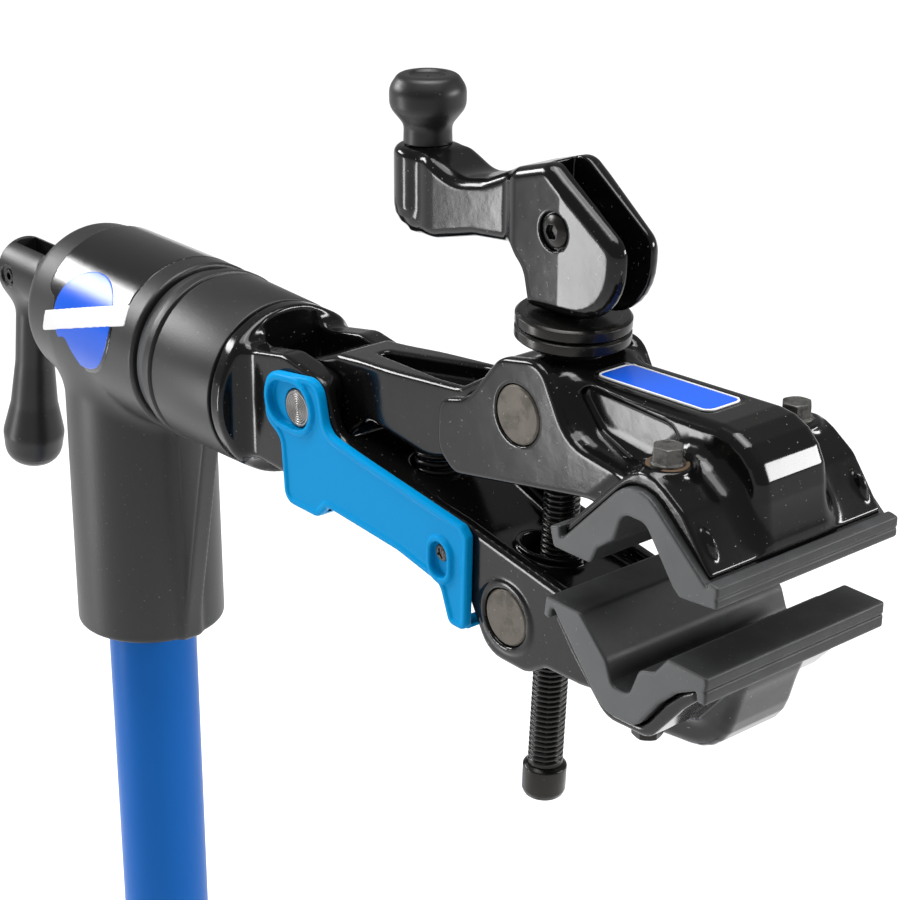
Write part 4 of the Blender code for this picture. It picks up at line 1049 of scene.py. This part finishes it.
def flange_bolt(name, look, body, node, place, head, rusty=False):
    """Hex flange bolt head, from its seat on a jaw shell up or down to its head's height."""
    b = Block((-6, -6, -2), (6, 6, 7), 0.22)
    height = abs(head - place[2])
    hexed = extrude(b.plan(hexagon(8.8)), np.abs(b.z - height / 2) - height / 2, 0.25)
    dome = np.sqrt(b.x**2 + b.y**2 + (b.z + 6) ** 2) - (height + 6.6)
    field = soft_max(hexed, dome, 0.5)
    dish = extrude(disc(b.x, b.y, 4.0), np.abs(b.z - height) - 0.35, 0.1)
    field = both(field, -dish)
    flange = extrude(disc(b.x, b.y, 5.4), np.abs(b.z - 0.5) - 0.5, 0.3)
    field = soft_min(field, flange, 0.6)
    field = near(field, extrude(disc(b.x, b.y, 2.6), np.abs(b.z + 1) - 1.2, 0.1))
    flip = Matrix.Rotation(0 if head > place[2] else math.pi, 4, "X")
    within = HEAD @ Matrix.Translation(place) @ flip
    cast(name, b, field, look, body, [node], within)
    if rusty:
        turned(name + "_washer", [(4.6, -0.5), (6.6, -0.5, 0.1), (6.6, 0.25, 0.2), (4.6, 0.25)],
               LOOKS["rust"], body, within=within, sides=64)


def pad_bolts():
    for prefix, look, body, node, (x, seat, head) in (
        ("top_bolt", LOOKS["zinc"], "upper_jaw", "upper_pad_bolt", TOP_BOLT),
        ("under_bolt", LOOKS["oxide"], "clamp", "lower_pad_bolt", UNDER_BOLT),
    ):
        for end, y in (("near", -PAD_BOLT_Y), ("far", PAD_BOLT_Y)):
            rusty = prefix == "top_bolt" and end == "near"
            flange_bolt(f"{prefix}_{end}", look, body, f"{node}_{end}", (x, y, seat), head, rusty)


def cam_pivot():
    """Button heads with hex sockets, and the barrel between them."""
    px, pz = CAM_PIVOT
    for name, side, replaced in (
        ("pivot_head_near", -1, ["cam_pivot_screw"]),
        ("pivot_head_far", 1, []),
    ):
        b = Block((-6, -6, -1), (6, 6, 3), 0.18)
        ball = np.sqrt(b.x**2 + b.y**2 + (b.z + 7) ** 2) - 9.0
        field = both(soft_max(disc(b.x, b.y, 5.6), ball, 0.6), -0.9 - b.z)
        field = both(field, -extrude(b.plan(hexagon(4.6, 0.1)), 0.0 - b.z))
        turn = Matrix.Rotation(-side * math.pi / 2, 4, "X")
        within = HEAD @ Matrix.Translation((px, side * 10.6, pz)) @ turn
        cast(name, b, field, LOOKS["oxide"], "screw", replaced, within)
    turned("pivot_barrel", [(0, -10.4), (3.2, -10.4, 0.2), (3.2, 10.4, 0.2), (0, 10.4)],
           LOOKS["zinc"], "screw", at=(px, 0, pz), axis="Y", sides=48)


def cover_screws():
    """Small domed screws with a cross recess."""
    x, z = COVER_SCREW
    for name, side in (("near", -1), ("far", 1)):
        b = Block((-3.4, -3.4, -2), (3.4, 3.4, 2), 0.14)
        ball = np.sqrt(b.x**2 + b.y**2 + (b.z + 4.6) ** 2) - 5.6
        field = both(soft_max(disc(b.x, b.y, 3.1), ball, 0.4), -1.6 - b.z)
        slit = both(np.abs(b.x) - 0.45, np.abs(b.y) - 1.9)
        cross_slit = both(np.abs(b.y) - 0.45, np.abs(b.x) - 1.9)
        field = both(field, -both(near(slit, cross_slit), -0.2 - b.z))
        turn = Matrix.Rotation(-side * math.pi / 2, 4, "X") @ Matrix.Rotation(0.5, 4, "Z")
        within = HEAD @ Matrix.Translation((x, side * (HALF_W + 2.2), z)) @ turn
        cast(f"cover_screw_head_{name}", b, field, LOOKS["zinc"], "clamp", [f"cover_screw_{name}"],
             within)


def lift_spring():
    """Coil between the channel's floor and the arm."""
    low, high, mean, wire = -12.4, 5.2, 8.0, 1.3
    steps, turns, around = 130, 5.0, 10
    up = Vector((0, 0, 1))
    bm = bmesh.new()
    rings = []
    for k in range(steps + 1):
        share = k / steps
        angle = 2 * math.pi * turns * share
        out = Vector((math.cos(angle), math.sin(angle), 0))
        height = low + wire + (high - low - 2 * wire) * share
        middle = Vector((SPRING_X, 0, height)) + out * mean
        leans = [2 * math.pi * n / around for n in range(around)]
        rings.append([
            bm.verts.new(middle + (out * math.cos(lean) + up * math.sin(lean)) * wire)
            for lean in leans
        ])
    skin_rings(bm, rings)
    obj = add("lift_spring_coil", mesh_of("lift_spring_coil", bm), LOOKS["oxide"], None,
              ["lift_spring"], sharp=50)
    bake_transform(obj)


# ---------------------------------------------------------------- CAD nodes left showing
NODE_LOOKS = {      # the start of a node's name: its look. The longest match counts.
    "leg_": "satin", "tube_": "satin", "height_": "satin", "collar_": "zinc", "hub_": "zinc",
    "mast_": "satin", "main_": "zinc", "shaft_": "zinc", "front_": "bronze", "rear_": "bronze",
    "knob_": "zinc", "lower_tube": "blue_tube", "leg_tube": "blue_tube", "leg_foot": "rubber",
    "leg_pin": "zinc", "column_foot": "rubber", "collar_lever": "satin",
    "collar_lever_pin": "zinc",
}


def dress_nodes():
    for node, obj in frame["nodes"].items():
        match = max((key for key in NODE_LOOKS if node.startswith(key)), key=len, default=None)
        if match:
            obj.data.materials.clear()
            obj.data.materials.append(LOOKS[NODE_LOOKS[match]])


socket_and_barrel()
label()
column()
rear_lever()
clamp_casting()
pads()
arm_casting()
jaw_casting()
badge()
cover()
lever_casting()
lever_knob()
clamp_screw()
washers()
trunnions()
yoke_pin()
pad_bolts()
cam_pivot()
cover_screws()
lift_spring()
dress_nodes()
